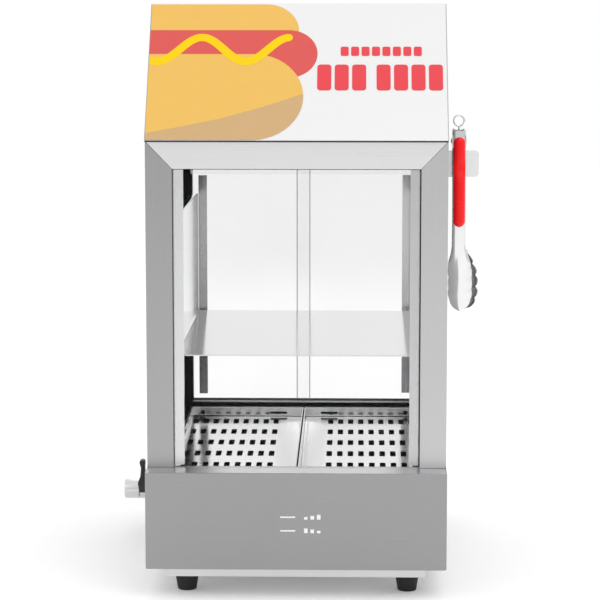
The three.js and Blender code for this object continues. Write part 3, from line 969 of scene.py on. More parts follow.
BASE_STEEL = BrushedSteel("base_steel", 0.33, Grain.ALONG_X)
SIDE_STEEL = BrushedSteel("side_steel", 0.40, Grain.ALONG_Z)
ROOF_STEEL = BrushedSteel("roof_steel", 0.45, Grain.ALONG_Y)
# The front frame is one steel in three tones that paint its light and shade: the left post is
# darker, and the right post and top rail are lighter, as if lit from the top right.
LEFT_POST_SHADED_STEEL = BrushedSteel("left_post_steel", 0.385, Grain.ALONG_Z)
RIGHT_POST_LIT_STEEL = BrushedSteel("right_post_steel", 0.53, Grain.ALONG_Z)
RAIL_LIT_STEEL = BrushedSteel("rail_steel", 0.78, Grain.ALONG_X)
# The glass channels' tones are raised to paint the light that they reflect, the left one more than
# the right one.
LEFT_CHANNEL_LIT_STEEL = BrushedSteel("left_channel_steel", 0.90, Grain.ALONG_Z, 0.25)
RIGHT_CHANNEL_LIT_STEEL = BrushedSteel("right_channel_steel", 0.70, Grain.ALONG_Z, 0.25)
LEFT_PULL_STEEL = BrushedSteel("left_pull_steel", 0.62, Grain.ALONG_Z, 0.25)
# The right pull's lighter tone paints light onto it where it stands in the cabinet's shade.
RIGHT_PULL_LIT_STEEL = BrushedSteel("right_pull_steel", 0.95, Grain.ALONG_Z, 0.25)
TRAY_STEEL = BrushedSteel("tray_steel", 0.82, Grain.ALONG_Y, 0.15, 0.04)
RACK_STEEL = BrushedSteel("rack_steel", 0.95, Grain.ALONG_X, 0.13, 0.03, 0.03, 0.03)
TANK_STEEL = BrushedSteel("tank_steel", 0.22, Grain.ALONG_X, 0.35)
ELEMENT_STEEL = BrushedSteel("element_steel", 0.16, Grain.ALONG_Y, 0.45, 0.3, 0.4)
# The rear arm's darker tone paints the shade on its inner side.
REAR_TONG_SHADED_STEEL = BrushedSteel("rear_tong_steel", 0.48, Grain.ALONG_Z, 0.2, 0.06)
TONG_STEEL = BrushedSteel("tong_steel", 0.78, Grain.ALONG_Z, 0.13, 0.06)
# Brighter steel: polished on the pull ring, and a painted highlight on the pressed level marks.
POLISHED_AND_HIGHLIGHT = BrushedSteel("polished", 0.85, Grain.ALONG_X, 0.2, 0.02, 0.02, 0.02)
BRACKET_STEEL = BrushedSteel("bracket_steel", 0.86, Grain.ALONG_Z, 0.3, 0.05)
PAN_STEEL = BrushedSteel("pan_steel", 0.64, Grain.ALONG_X)
NICKEL = BrushedSteel("satin_nickel", 0.68, Grain.ALONG_X, 0.26, 0.05, 0.08)
LINING = Moulded("dark_lining", (0.005, 0.005, 0.005), 0.8, worn=(0.02, 0.02, 0.02), shine=0.0)
WHITE_COAT = Moulded("white_coat", (0.78, 0.78, 0.78), 0.34, 0.02, 0.05, 0.1,
                     (0.95, 0.95, 0.95), 0.02, 0.2)
BLACK_PLASTIC = Moulded("black_plastic", (0.012, 0.012, 0.012), 0.45)
TRACK_BLACK = Moulded("track_black", (0.008, 0.008, 0.008), 0.6, wear=0.1, shine=0.1, pebble=0.004)
# Black rubber for the feet. The same black fills the thin strip round the front opening and the
# strip under the header's lip, where it paints shade.
BLACK_RUBBER_AND_SHADE = Moulded("black_rubber", (0.006, 0.006, 0.006), 0.7, 0.3, 0.15,
                       worn=(0.05, 0.05, 0.05), pebble=0.06)
RED_GRIP = Moulded("red_grip", (1.0, 0.003, 0.006), 0.3, 0.1, 0.1, 0.3,
                   (1.0, 0.10, 0.10), 0.03, shine=0.35)
AMBER = Moulded("amber_lens", (0.85, 0.24, 0.01), 0.15, 0.05, 0.02, 0.1, (1.0, 0.5, 0.1), 0.0,
                0.6)
GROUND_EDGE = Moulded("ground_edge", (0.50, 0.56, 0.54), 0.5, 0.05, worn=(0.6, 0.65, 0.63),
                      pebble=0.01)
MARK_WHITE = Moulded("mark_white", (0.75, 0.75, 0.73), 0.5, wear=0.1, worn=(0.9, 0.9, 0.9))
FRONT_GLASS = ClearGlass("front_glass", 0.07, 0.8)
DOOR_GLASS = ClearGlass("door_glass", 0.022, 0.45)
CLEAR_TRACK = ClearPlastic("clear_track", (0.97, 0.98, 0.975))
INK_BUN = Ink("ink_bun", (0.80, 0.485, 0.112))
INK_SHADE = Ink("ink_shade", (0.60, 0.39, 0.19))
INK_SAUSAGE = Ink("ink_sausage", (0.68, 0.100, 0.090))
INK_MUSTARD = Ink("ink_mustard", (0.92, 0.60, 0.0))
INK_RED = Ink("ink_red", (0.76, 0.065, 0.080))


class Workshop:
    """Dresses pieces: gives each its finish, its body and the nodes it stands for."""

    def __init__(self) -> None:
        """Start with no materials made and every frame node known."""
        self.effects = Effects()
        self.materials: dict[str, bpy.types.Material] = {}
        self.slots = {row["node"]: row["material_slot"] for row in frame["record"]["subparts"]}
        self.homes = {
            node: body
            for body, nodes in frame["record"]["behaviour"]["bodies"].items()
            for node in nodes
        }

    def material(self, finish: Finish) -> bpy.types.Material:
        """The material of a finish, made the first time it is asked for.

        Args:
            finish: The finish.

        Returns:
            The material.
        """
        if finish.name not in self.materials:
            self.materials[finish.name] = finish.build(self.effects)
        return self.materials[finish.name]

    def keep(self, node: str, finish: Finish, edge: float = 0.4) -> None:
        """Keep a CAD node's shape, with round edges and a better surface.

        Args:
            node: The node's name.
            finish: Its finish.
            edge: The width of its rounded edges in millimetres.
        """
        piece = frame["nodes"][node]
        piece.data.materials.clear()
        piece.data.materials.append(self.material(finish))
        soften(piece, edge * MM, 2)
        LOG.info("kept %s in %s", node, finish.name)

    def replace(self, piece: bpy.types.Object, finish: Finish, *nodes: str) -> None:
        """Dress a piece that stands for one or more CAD nodes.

        Args:
            piece: The piece.
            finish: Its finish.
            *nodes: The nodes that it replaces.
        """
        self.add(piece, finish, nodes[0])
        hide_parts(*nodes)

    def add(
        self, piece: bpy.types.Object, finish: Finish, host: str, slot: str | None = None
    ) -> None:
        """Dress a piece that rides with a CAD node without replacing it.

        Args:
            piece: The piece.
            finish: Its finish.
            host: The node whose body it shares.
            slot: Its material slot, where it isn't the host's; not used.
        """
        piece.data.materials.clear()
        piece.data.materials.append(self.material(finish))
        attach(piece, self.homes[host])
        LOG.info("made %s in %s", piece.name, finish.name)


# ------------------------------------------------------------------ feet and base
@dataclass
class Feet:
    """Four tapered rubber feet with a rounded tread and a screw recess."""

    tread: float = 10.0
    top: float = 13.3

    def build(self, shop: Workshop) -> None:
        """Make and dress the feet.

        Args:
            shop: The workshop.
        """
        for end in ("front", "rear"):
            for side in Side:
                node = f"foot_{end}_{side.tag}"
                box = Box.of(node)
                shop.replace(self.foot(f"rubber_{node}", box), BLACK_RUBBER_AND_SHADE, node)

    def foot(self, name: str, box: Box) -> bpy.types.Object:
        """Make one foot.

        Args:
            name: The piece's name.
            box: The foot's box.

        Returns:
            The piece.
        """
        height = box.size.z
        tread, top = self.tread * MM, self.top * MM
        corner = arc((tread - 1.6 * MM, 1.6 * MM), 1.6 * MM, -90, -8, 5)
        profile = [(3.0 * MM, 3.5 * MM), (3.2 * MM, 0.4 * MM), (3.8 * MM, 0.0), *corner,
                   (top - 0.2 * MM, height - 1.2 * MM), (top - 0.6 * MM, height - 0.3 * MM),
                   (top - 1.2 * MM, height)]
        return turned(name, profile, (box.centre.x, box.centre.y, box.lo.z), (0, 0, 1))


@dataclass
class Base:
    """The water base: folded front with pressed level marks, sides, back, deck and pan."""

    proud: float = 0.8
    mark_height: float = 1.9
    mark_length: float = 16.7
    sign_size: float = 6.0

    def build(self, shop: Workshop) -> None:
        """Make and dress the base.

        Args:
            shop: The workshop.
        """
        front = Box.of("base_front")
        shop.replace(self.front_sheet(front), BASE_STEEL, "base_front")
        # The level marks take a brighter steel than the sheet, a painted highlight where the
        # pressed shapes catch the light.
        shop.replace(self.marks(front), POLISHED_AND_HIGHLIGHT, "base_front")
        for node in ("base_left", "base_right"):
            shop.keep(node, SIDE_STEEL)
        shop.keep("base_back", BASE_STEEL)
        shop.keep("base_deck", BRACKET_STEEL)
        shop.keep("bottom_pan", PAN_STEEL)
        shop.keep("water_tank", TANK_STEEL, 0.3)

    def front_sheet(self, box: Box) -> bpy.types.Object:
        """Make the front sheet with its rolled edges.

        Args:
            box: The front sheet's box.

        Returns:
            The piece.
        """
        outline = rounded_box(box.lo.x, box.hi.x, box.lo.z, box.hi.z, 2.2 * MM)
        sheet = prism("front_sheet", Plane.FRONT, outline, box.lo.y + self.proud * MM, box.hi.y)
        return soften(sheet, 0.48 * MM, 4)

    def marks(self, box: Box) -> bpy.types.Object:
        """Make the two pressed level marks, each with its sign, in a brighter steel that paints
        the highlight on their raised faces.

        Args:
            box: The front sheet's box.

        Returns:
            The piece.
        """
        proud = self.proud * MM
        face = box.lo.y + proud
        middle, half = box.centre.x, self.mark_height * MM / 2
        parts = []
        for level, rise in ((87.1, 1), (72.8, -1)):
            z = level * MM
            dash = rounded_box(middle - self.mark_length * MM, middle, z - half, z + half,
                               half * 0.95, 4)
            parts.append(self.pressed("dash", dash, face, proud))
            parts.extend(self.sign(middle + 8.0 * MM, z, rise, face, proud))
        return join("level_marks", parts)

    def sign(self, x: float, z: float, rise: int, face: float, proud: float) -> (
            list[bpy.types.Object]):
        """Make a level's sign: three steps that rise for full and fall for empty.

        Args:
            x: The sign's left end.
            z: The level's height.
            rise: 1 for the upper level and -1 for the lower one.
            face: The sheet's outer face.
            proud: How far the sign stands out.

        Returns:
            The sign's parts.
        """
        parts = []
        for step in range(3):
            left = x + step * 6.6 * MM
            share = (step + 1) / 3 if rise > 0 else (3 - step) / 3
            high = self.sign_size * MM * (0.4 + 0.6 * share)
            low = z - self.sign_size * MM / 2
            outline = rounded_box(left, left + 4.6 * MM, low, low + high, 0.8 * MM, 3)
            parts.append(self.pressed("step", outline, face, proud))
        return parts

    @staticmethod
    def pressed(name: str, outline: Sequence[Point2], face: float, proud: float) -> (
            bpy.types.Object):
        """Raise an outline from the sheet with a sloping edge.

        Args:
            name: The part's name.
            outline: Its outline.
            face: The sheet's outer face.
            proud: How far it stands out.

        Returns:
            The part.
        """
        centre = Vector((sum(p[0] for p in outline), sum(p[1] for p in outline))) / len(outline)
        rings = []
        for out, inset in ((-0.3, 0.0), (0.0, 0.0), (0.6, 0.32), (0.9, 0.55), (1.0, 0.95)):
            ring = []
            for point in outline:
                inward = centre - Vector(point)
                inward = inward.normalized() * min(inset * MM, inward.length * 0.9)
                ring.append((point[0] + inward.x, face - out * proud, point[1] + inward.y))
            rings.append(ring)
        return loft(name, rings)


# ------------------------------------------------------------------ heater and tap
@dataclass
class Heater:
    """The hairpin element in the water, on its flange."""

    radius: float = 4.0

    def build(self, shop: Workshop) -> None:
        """Make and dress the heater.

        Args:
            shop: The workshop.
        """
        box = Box.of("heating_element")
        radius = self.radius * MM
        reach = box.size.x / 2 - radius
        middle = Vector((box.centre.x, box.lo.y + radius + reach, box.centre.z))
        path = [Vector((middle.x + reach, box.hi.y, middle.z))]
        for angle in range(0, 181, 10):
            turn = math.radians(angle)
            path.append(middle + Vector((reach * math.cos(turn), -reach * math.sin(turn), 0)))
        path.append(Vector((middle.x - reach, box.hi.y, middle.z)))
        shop.replace(tube("element_tube", path, radius, 20), ELEMENT_STEEL, "heating_element")
        shop.keep("heater_flange", NICKEL)


@dataclass
class DrainTap:
    """A nickel ball valve through the left wall, with a black lever and a plain spout."""

    radius: float = 11.2
    bore: float = 6.8

    def build(self, shop: Workshop) -> None:
        """Make and dress the tap.

        Args:
            shop: The workshop.
        """
        body, spout, lever = (Box.of(n) for n in ("drain_body", "drain_spout", "drain_lever"))
        centre = (0.0, spout.centre.y, spout.centre.z)
        shop.replace(self.body(body, lever, centre), NICKEL, "drain_body")
        shop.replace(self.spout(spout, centre), NICKEL, "drain_spout")
        shop.replace(self.lever(lever), BLACK_PLASTIC, "drain_lever")
        shop.keep("drain_nut", NICKEL)

    def body(self, box: Box, lever: Box, centre: Point3) -> bpy.types.Object:
        """Make the valve's body with its hexagon collar and stem boss.

        Args:
            box: The body's box.
            lever: The lever's box.
            centre: A point on the body's axis.

        Returns:
            The piece.
        """
        r = self.radius * MM
        end = box.lo.x
        wall = Box.of("base_left").lo.x - 0.3 * MM
        profile = [
            (0.001 * MM, end), (r - 0.8 * MM, end), (r, end + 0.8 * MM), (r, end + 9 * MM),
            (r - 0.6 * MM, end + 9.6 * MM), (r - 0.6 * MM, end + 10.6 * MM), (r, end + 11.2 * MM),
            (r, wall - 8 * MM), (r - 1 * MM, wall - 7 * MM), (r - 1 * MM, wall - 6.4 * MM),
        ]
        trunk = turned("trunk", [*profile, (0.001 * MM, wall - 6.4 * MM)], centre, (1, 0, 0))
        collar = turned("collar", [(0.001 * MM, wall - 6.2 * MM), (13.2 * MM, wall - 6.2 * MM),
                                   (14 * MM, wall - 5.4 * MM), (14 * MM, wall - 0.8 * MM),
                                   (13.2 * MM, wall), (0.001 * MM, wall)], centre, (1, 0, 0), 6)
        stub = turned("stub", [(7.4 * MM, wall), (7.4 * MM, box.hi.x - 1 * MM),
                               (6.6 * MM, box.hi.x), (0.001 * MM, box.hi.x)], centre, (1, 0, 0))
        hub = lever.centre.x + 0.5 * MM
        stem = turned("stem", [(6 * MM, 0.0), (6 * MM, centre[1] - lever.hi.y - 1.5 * MM),
                               (4.6 * MM, centre[1] - lever.hi.y - 0.3 * MM)],
                      (hub, centre[1], lever.lo.z + 5 * MM), (0, -1, 0), 40)
        return join("valve_body", [trunk, collar, stub, stem])

    def spout(self, box: Box, centre: Point3) -> bpy.types.Object:
        """Make the spout: a short pipe with a rolled mouth.

        Args:
            box: The spout's box.
            centre: A point on its axis.

        Returns:
            The piece.
        """
        r, bore, lo, hi = self.radius * MM, self.bore * MM, box.lo.x, box.hi.x
        profile = [
            (bore + 0.5 * MM, lo), (r - 1.2 * MM, lo), (r - 0.35 * MM, lo + 0.4 * MM),
            (r, lo + 1.3 * MM), (r, hi - 0.5 * MM), (r - 0.5 * MM, hi), (bore, hi),
            (bore, lo + 0.6 * MM),
        ]
        return turned("spout_pipe", profile, centre, (1, 0, 0), closed=True)

    def lever(self, box: Box) -> bpy.types.Object:
        """Make the lever: a skirted hub, a narrow arm and a rib along it.

        Args:
            box: The lever's box.

        Returns:
            The piece.
        """
        x0, z0, top = box.lo.x, box.lo.z, box.hi.z
        mid = x0 + 9.5 * MM
        arm = mid - 3.4 * MM

        def arm_edge(sign: int) -> list[Point2]:
            """One long edge of the arm, from the hub up to its round end."""
            half = sign * 2.6 * MM
            return [(arm + half * 1.1, z0 + 19 * MM), (arm + half * 0.85, top - 9 * MM),
                    (arm + half * 1.25 - 0.6 * MM, top - 3 * MM)]

        right = [(mid + 7.4 * MM, z0), (mid + 9.3 * MM, z0 + 10.5 * MM),
                 (mid + 8 * MM, z0 + 13.6 * MM), *arm_edge(1)]
        left = [(mid - 7.4 * MM, z0), (mid - 9.3 * MM, z0 + 10.5 * MM),
                (mid - 8.4 * MM, z0 + 13.6 * MM), *arm_edge(-1)]
        tip = [(arm + 1.8 * MM, top - 0.5 * MM), (arm - 0.5 * MM, top),
               (arm - 3.2 * MM, top - 0.7 * MM)]
        outline = [*right, *tip, *reversed(left)]
        plate = prism("plate", Plane.FRONT, outline, box.lo.y + 1.5 * MM, box.hi.y)
        cap = turned("cap", [(6.4 * MM, 0.0), (6.2 * MM, 1.0 * MM), (5.2 * MM, 1.5 * MM)],
                     (mid, box.lo.y + 1.5 * MM, z0 + 6.5 * MM), (0, -1, 0), 40)
        rib = prism("rib", Plane.FRONT, [
            (arm - 0.9 * MM, z0 + 13 * MM), (arm + 0.9 * MM, z0 + 13 * MM),
            (arm + 0.4 * MM, top - 4 * MM), (arm - 1.4 * MM, top - 4 * MM),
        ], box.lo.y + 0.6 * MM, box.lo.y + 2.5 * MM)
        return soften(join("tap_lever", [plate, cap, rib]), 0.7 * MM, 3)


# ------------------------------------------------------------------ operator's controls
@dataclass
class Controls:
    """Thermostat knob, rocker switch, pilot lamp and cord gland on the base's back."""

    flutes: int = 24

    def build(self, shop: Workshop) -> None:
        """Make and dress the controls.

        Args:
            shop: The workshop.
        """
        shop.keep("thermostat_body", BLACK_PLASTIC)
        knob = Box.of("thermostat_knob")
        shop.replace(self.knob(knob), BLACK_PLASTIC, "thermostat_knob")
        shop.add(self.pointer(knob), MARK_WHITE, "thermostat_knob")
        shop.add(self.dial(knob), BLACK_PLASTIC, "base_back")
        shop.keep("switch_housing", BLACK_PLASTIC, 0.5)
        shop.keep("switch_rocker", BLACK_PLASTIC, 0.5)
        shop.replace(self.lamp(Box.of("pilot_lamp")), AMBER, "pilot_lamp")
        shop.replace(self.gland(Box.of("cord_gland")), BLACK_PLASTIC, "cord_gland")

    def knob(self, box: Box) -> bpy.types.Object:
        """Make the fluted knob with its shaft.

        Args:
            box: The knob's box.

        Returns:
            The piece.
        """
        centre = box.centre
        face = box.hi.y - 17.7 * MM
        steps = self.flutes * 6
        rings = []
        for radius, depth, flute in ((18.0, 0.0, 0.0), (18.0, 3.2, 0.0), (17.4, 4.0, 0.0),
                                     (15.4, 5.0, 0.5), (14.8, 7.0, 0.7), (14.2, 15.5, 0.7),
                                     (13.4, 17.0, 0.4), (12.6, 17.7, 0.0), (0.5, 17.7, 0.0)):
            ring = []
            for i in range(steps):
                angle = math.tau * i / steps
                wave = flute * (0.5 + 0.5 * math.cos(angle * self.flutes))
                r = (radius - wave) * MM
                ring.append((centre.x + r * math.cos(angle), face + depth * MM,
                             centre.z + r * math.sin(angle)))
            rings.append(ring)
        shaft = turned("shaft", [(3 * MM, 0.0), (3 * MM, face - box.lo.y)],
                       (centre.x, box.lo.y, centre.z), (0, 1, 0), 32)
        return join("fluted_knob", [loft("cap", rings), shaft])

    def pointer(self, box: Box) -> bpy.types.Object:
        """Make the white line on the knob's face.

        Args:
            box: The knob's box.

        Returns:
            The piece.
        """
        x, z = box.centre.x, box.centre.z
        line = rounded_box(x - 0.8 * MM, x + 0.8 * MM, z + 3 * MM, z + 11 * MM, 0.7 * MM, 4)
        return prism("knob_pointer", Plane.FRONT, line, box.hi.y - 0.2 * MM, box.hi.y + 0.15 * MM)

    def dial(self, box: Box) -> bpy.types.Object:
        """Make the printed ticks round the knob, longer every third one.

        Args:
            box: The knob's box.

        Returns:
            The piece.
        """
        back = Box.of("base_back").hi.y
        parts = []
        for i in range(10):
            angle = math.radians(225 - 30 * i)
            out = Vector((math.cos(angle), math.sin(angle)))
            across = Vector((-out.y, out.x)) * 0.45 * MM
            centre = Vector((box.centre.x, box.centre.z))
            near = centre + out * 20.5 * MM
            far = centre + out * (24.5 if i % 3 == 0 else 23.0) * MM
            corners = [tuple(near - across), tuple(far - across), tuple(far + across),
                       tuple(near + across)]
            parts.append(prism("tick", Plane.FRONT, corners, back, back + 0.12 * MM))
        return join("dial_ticks", parts)

    def lamp(self, box: Box) -> bpy.types.Object:
        """Make the domed pilot lamp.

        Args:
            box: The lamp's box.

        Returns:
            The piece.
        """
        face = box.hi.y - 5.3 * MM
        dome = [(5.2 * MM * math.cos(math.radians(a)),
                 face + (1.6 + 3.7 * math.sin(math.radians(a))) * MM) for a in range(0, 90, 10)]
        profile = [(4.5 * MM, box.lo.y), (4.5 * MM, face), (6.3 * MM, face),
                   (6.5 * MM, face + 0.4 * MM), (6.4 * MM, face + 1.3 * MM),
                   (5.8 * MM, face + 1.6 * MM), *dome, (0.3 * MM, face + 5.3 * MM)]
        return turned("lamp_lens", profile, (box.centre.x, 0, box.centre.z), (0, 1, 0))

    def gland(self, box: Box) -> bpy.types.Object:
        """Make the cord gland: a hexagon nut and a tapered neck, bored through.

        Args:
            box: The gland's box.

        Returns:
            The piece.
        """
        origin = (box.centre.x, 0.0, box.centre.z)
        face = box.hi.y - 15 * MM
        nut = turned("nut", [(6.4 * MM, face), (10.4 * MM, face), (11 * MM, face + 0.5 * MM),
                             (11 * MM, face + 4.4 * MM), (10.2 * MM, face + 5 * MM),
                             (6.4 * MM, face + 5 * MM)], origin, (0, 1, 0), 6, closed=True)
        neck = [(3.8 * MM, box.lo.y), (6.2 * MM, box.lo.y), (6.2 * MM, face + 5 * MM)]
        for i in range(8):
            y = face + (5 + i * 1.15) * MM
            r = (8.8 - i * 0.22) * MM
            neck.extend([(r, y + 0.25 * MM), (r - 0.5 * MM, y + 0.8 * MM)])
        neck.extend([(6.6 * MM, box.hi.y - 0.4 * MM), (6.0 * MM, box.hi.y), (3.8 * MM, box.hi.y)])
        return join("gland_body", [nut, turned("neck", neck, origin, (0, 1, 0), closed=True)])


# ------------------------------------------------------------------ trays and rack
@dataclass
class SteamTray:
    """A lift-out tray: a sloping slotted floor, folded walls, and a lip front and rear."""

    side: Side
    columns: int = 9
    rows: int = 6
    slot_width: float = 6.2
    slot_length: float = 23.0
    first_column: float = 32.0
    pitch_x: float = 11.75
    first_row: float = 97.0
    pitch_y: float = 51.0
    slope: float = 0.054
    fold: float = 2.2
    lip: float = 7.0
    drop: float = 4.0
    sheet: float = 1.0

    def build(self, shop: Workshop) -> None:
        """Make and dress the tray.

        Args:
            shop: The workshop.
        """
        node = f"tray_{self.side.tag}"
        box = Box.of(node)
        tub = self.tub(box)
        cut(tub, [*self.slots(), *self.rear_holes(box)])
        shop.replace(tub, TRAY_STEEL, node)

    def floor(self, y: float) -> float:
        """The height of the floor's underside at a place along the tray.

        Args:
            y: The place.

        Returns:
            The height.
        """
        box = Box.of(f"tray_{self.side.tag}")
        return box.lo.z + (y - box.lo.y - self.lip * MM) * self.slope

    def tub(self, box: Box) -> bpy.types.Object:
        """Make the folded tray before its slots are cut.

        Args:
            box: The tray's box.

        Returns:
            The piece.
        """
        sheet, fold, lip = self.sheet * MM, self.fold * MM, self.lip * MM
        x0, x1 = box.lo.x, box.hi.x
        y0, y1 = box.lo.y + lip, box.hi.y - lip
        drop = self.drop * MM

        def rim(y: float) -> float:
            """The rim's height, which falls to the front."""
            share = min(max((y - y0) / (y1 - y0), 0.0), 1.0)
            return box.hi.z - drop * (1 - share)

        def ring(inset: float, rise: Callable[[float], float], out: float = 0.0) -> (
                list[Point3]):
            """One loop round the tray, inset from its walls or let out to the lips."""
            left, right = x0 + inset, x1 - inset
            front, rear = y0 + inset - out, y1 - inset + out
            corners = [(left, front), (right, front), (right, rear), (left, rear)]
            return [(x, y, rise(y)) for x, y in corners]

        def wall_height(share: float) -> Callable[[float], float]:
            """A height part of the way up the fold between floor and wall."""
            return lambda y: self.floor(min(max(y, y0), y1)) + fold * share

        outer, inner = [], []
        for angle in range(0, 91, 18):
            turn = math.radians(angle)
            shrink = fold * (1 - math.sin(turn))
            rise = 1 - math.cos(turn)
            outer.append(ring(shrink, wall_height(rise)))
            small = sheet + (fold - sheet) * (1 - math.sin(turn))
            lift_by = sheet / fold + (1 - sheet / fold) * rise
            inner.append(ring(small, wall_height(lift_by)))
        outer.append(ring(0.0, lambda y: rim(y) - sheet))
        outer.append(ring(0.0, lambda y: rim(y) - sheet, lip))
        outer.append(ring(0.0, rim, lip))
        inner.append(ring(sheet, rim))
        shell = loft(f"steam_tray_{self.side.tag}", [*outer, *reversed(inner)])
        shell.data.set_sharp_from_angle(angle=math.radians(35))
        return shell

    def slots(self) -> list[bpy.types.Object]:
        """The cutters for the steam slots.

        Returns:
            One cutter for each slot.
        """
        half_w, half_l = self.slot_width * MM / 2, self.slot_length * MM / 2
        middle = Box.of("base_front").centre.x
        start = Box.of("base_front").lo.y + 0.8 * MM
        cutters = []
        for column in range(self.columns):
            x = middle + self.side.value * (self.first_column + column * self.pitch_x) * MM
            for row in range(self.rows):
                y = start + (self.first_row + row * self.pitch_y) * MM
                outline = rounded_box(x - half_w, x + half_w, y - half_l, y + half_l, 2 * MM, 4)
                z = self.floor(y)
                cutters.append(prism("slot", Plane.TOP, outline, z - 4 * MM, z + 5 * MM))
        return cutters

    def rear_holes(self, box: Box) -> list[bpy.types.Object]:
        """The cutters for the finger slot and the peg hole in the rear wall.

        Args:
            box: The tray's box.

        Returns:
            Two cutters.
        """
        middle = Box.of("base_front").centre.x
        wall = box.hi.y - self.lip * MM
        ends = sorted(middle + self.side.value * x * MM for x in (20.0, 40.0))
        z = box.hi.z - 5.6 * MM
        slot = rounded_box(ends[0], ends[1], z - 1.4 * MM, z + 1.4 * MM, 1.3 * MM, 4)
        finger = prism("finger", Plane.FRONT, slot, wall - 4 * MM, wall + 3 * MM)
        hole = arc((middle + self.side.value * 120 * MM, z + 0.4 * MM), 2.8 * MM, 0, 345, 23)
        return [finger, prism("peg", Plane.FRONT, hole, wall - 4 * MM, wall + 3 * MM)]


@dataclass
class BunRack:
    """The hung rack: one sheet folded to a floor, two tall sides and two hooked lips."""

    sheet: float = 1.2
    lip: float = 6.0
    fold: float = 2.4

    def build(self, shop: Workshop) -> None:
        """Make and dress the rack and its rails.

        Args:
            shop: The workshop.
        """
        box = Box.of("bun_rack")
        t, lip = self.sheet * MM, self.lip * MM
        x0, x1, z0, z1 = box.lo.x, box.hi.x, box.lo.z, box.hi.z
        path = [(x0, z1), (x0 + lip + t, z1), (x0 + lip + t, z0 + t), (x1 - lip - t, z0 + t),
                (x1 - lip - t, z1), (x1, z1)]
        rack = bent_sheet("folded_rack", Plane.FRONT, path, -t, box.lo.y, box.hi.y,
                          self.fold * MM)
        soften(rack, 0.3 * MM, 2)
        shop.replace(rack, RACK_STEEL, "bun_rack")
        for side in Side:
            shop.keep(f"rack_rail_{side.tag}", SIDE_STEEL, 0.6)


# ------------------------------------------------------------------ cabinet
def screw(name: str, place: Vector, axis: Point3, radius: float = 3.0) -> bpy.types.Object:
    """Make a pan-head screw with a crossed recess.

    Args:
        name: The piece's name.
        place: The centre of its head's underside.
        axis: The direction that its head faces.
        radius: The head's radius in millimetres.

    Returns:
        The piece.
    """
    r = radius * MM
    head = turned("head", [(r, -0.2 * MM), (r, 0.5 * MM), (r * 0.93, 1.0 * MM),
                           (r * 0.7, 1.5 * MM), (r * 0.35, 1.75 * MM), (0.05 * MM, 1.8 * MM)],
                  tuple(place), axis, 32)
    out = Vector(axis)
    across = out.orthogonal().normalized()
    upward = out.cross(across)
    bars = []
    for long, short in ((across, upward), (upward, across)):
        rings = []
        for depth in (1.0 * MM, 2.6 * MM):
            rings.append([tuple(place + out * depth + long * a * r * 0.62 + short * b * r * 0.13)
                          for a, b in ((-1, -1), (1, -1), (1, 1), (-1, 1))])
        bars.append(loft("bar", rings))
    for bar in bars:
        cut(head, [bar])
    head.name = name
    return head


@dataclass
class Cabinet:
    """Panels, front frame, glass, lining and the rear frame."""

    def build(self, shop: Workshop) -> None:
        """Dress the cabinet's sheets.

        Args:
            shop: The workshop.
        """
        for node, finish, edge in (
            # The posts and rail take steel tones that paint the frame's light and shade.
            ("front_post_left", LEFT_POST_SHADED_STEEL, 0.6),
            ("front_post_right", RIGHT_POST_LIT_STEEL, 0.6),
            ("front_top_rail", RAIL_LIT_STEEL, 0.6),
            ("front_glass", FRONT_GLASS, 0.3),
            # The channels' steel is brightened to paint the light that they reflect.
            ("glass_channel_left", LEFT_CHANNEL_LIT_STEEL, 0.5),
            ("glass_channel_right", RIGHT_CHANNEL_LIT_STEEL, 0.5),
            ("roof_panel", ROOF_STEEL, 0.4),
            ("ceiling_panel", LINING, 0.3),
            ("rear_upper_panel", SIDE_STEEL, 0.4),
        ):
            shop.keep(node, finish, edge)
        for side in Side:
            shop.keep(f"side_panel_{side.tag}", SIDE_STEEL)
            shop.keep(f"inner_wall_{side.tag}", LINING, 0.3)
            shop.keep(f"rear_post_{side.tag}", SIDE_STEEL)
        # A thin black strip runs round the front opening, along the dark line at the frame's inner
        # edge.
        shop.add(self.gasket(), BLACK_RUBBER_AND_SHADE, "front_glass", "black_rubber")
        # A black strip paints the shadow in the gap under the header's lip.
        shop.add(self.seam(), BLACK_RUBBER_AND_SHADE, "roof_panel", "black_rubber")
        panel = Box.of("rear_upper_panel")
        for x in (panel.lo.x + 12 * MM, panel.centre.x, panel.hi.x - 12 * MM):
            place = Vector((x, panel.hi.y, panel.hi.z - 14 * MM))
            shop.add(screw(f"panel_screw_{round(x / MM)}", place, (0, 1, 0)), NICKEL,
                     "rear_upper_panel")

    def gasket(self) -> bpy.types.Object:
        """Make a thin black strip round the front opening, in front of the glass, along the dark
        line at the frame's inner edge.

        Returns:
            The piece.
        """
        glass, left, right, rail = (Box.of(n) for n in (
            "front_glass", "front_post_left", "front_post_right", "front_top_rail"))
        near, far = left.hi.y - 1.2 * MM, glass.lo.y - 0.05 * MM
        top, low = rail.lo.z + 0.1 * MM, glass.lo.z + 0.2 * MM
        return join("glazing_strip", [
            prism("left", Plane.FRONT, rounded_box(
                left.hi.x - 0.1 * MM, left.hi.x + 0.6 * MM, low, top, 0.2 * MM), near, far),
            prism("right", Plane.FRONT, rounded_box(
                right.lo.x - 1.3 * MM, right.lo.x + 0.1 * MM, low, top, 0.2 * MM), near, far),
            prism("top", Plane.FRONT, rounded_box(
                left.hi.x, right.lo.x, top - 0.8 * MM, top, 0.2 * MM), near, far),
        ])

    def seam(self) -> bpy.types.Object:
        """Make a black strip between the header's lip and the front frame, a painted shadow for
        the shade in the gap there.

        Returns:
            The piece.
        """
        rail, header = Box.of("front_top_rail"), Box.of("header_panel")
        outline = rounded_box(header.lo.x + 0.5 * MM, header.hi.x - 0.5 * MM,
                              rail.hi.z - 0.6 * MM, header.lo.z + 0.05 * MM, 0.2 * MM)
        return prism("header_seam", Plane.FRONT, outline, header.lo.y + 0.3 * MM,
                     rail.lo.y - 0.05 * MM)


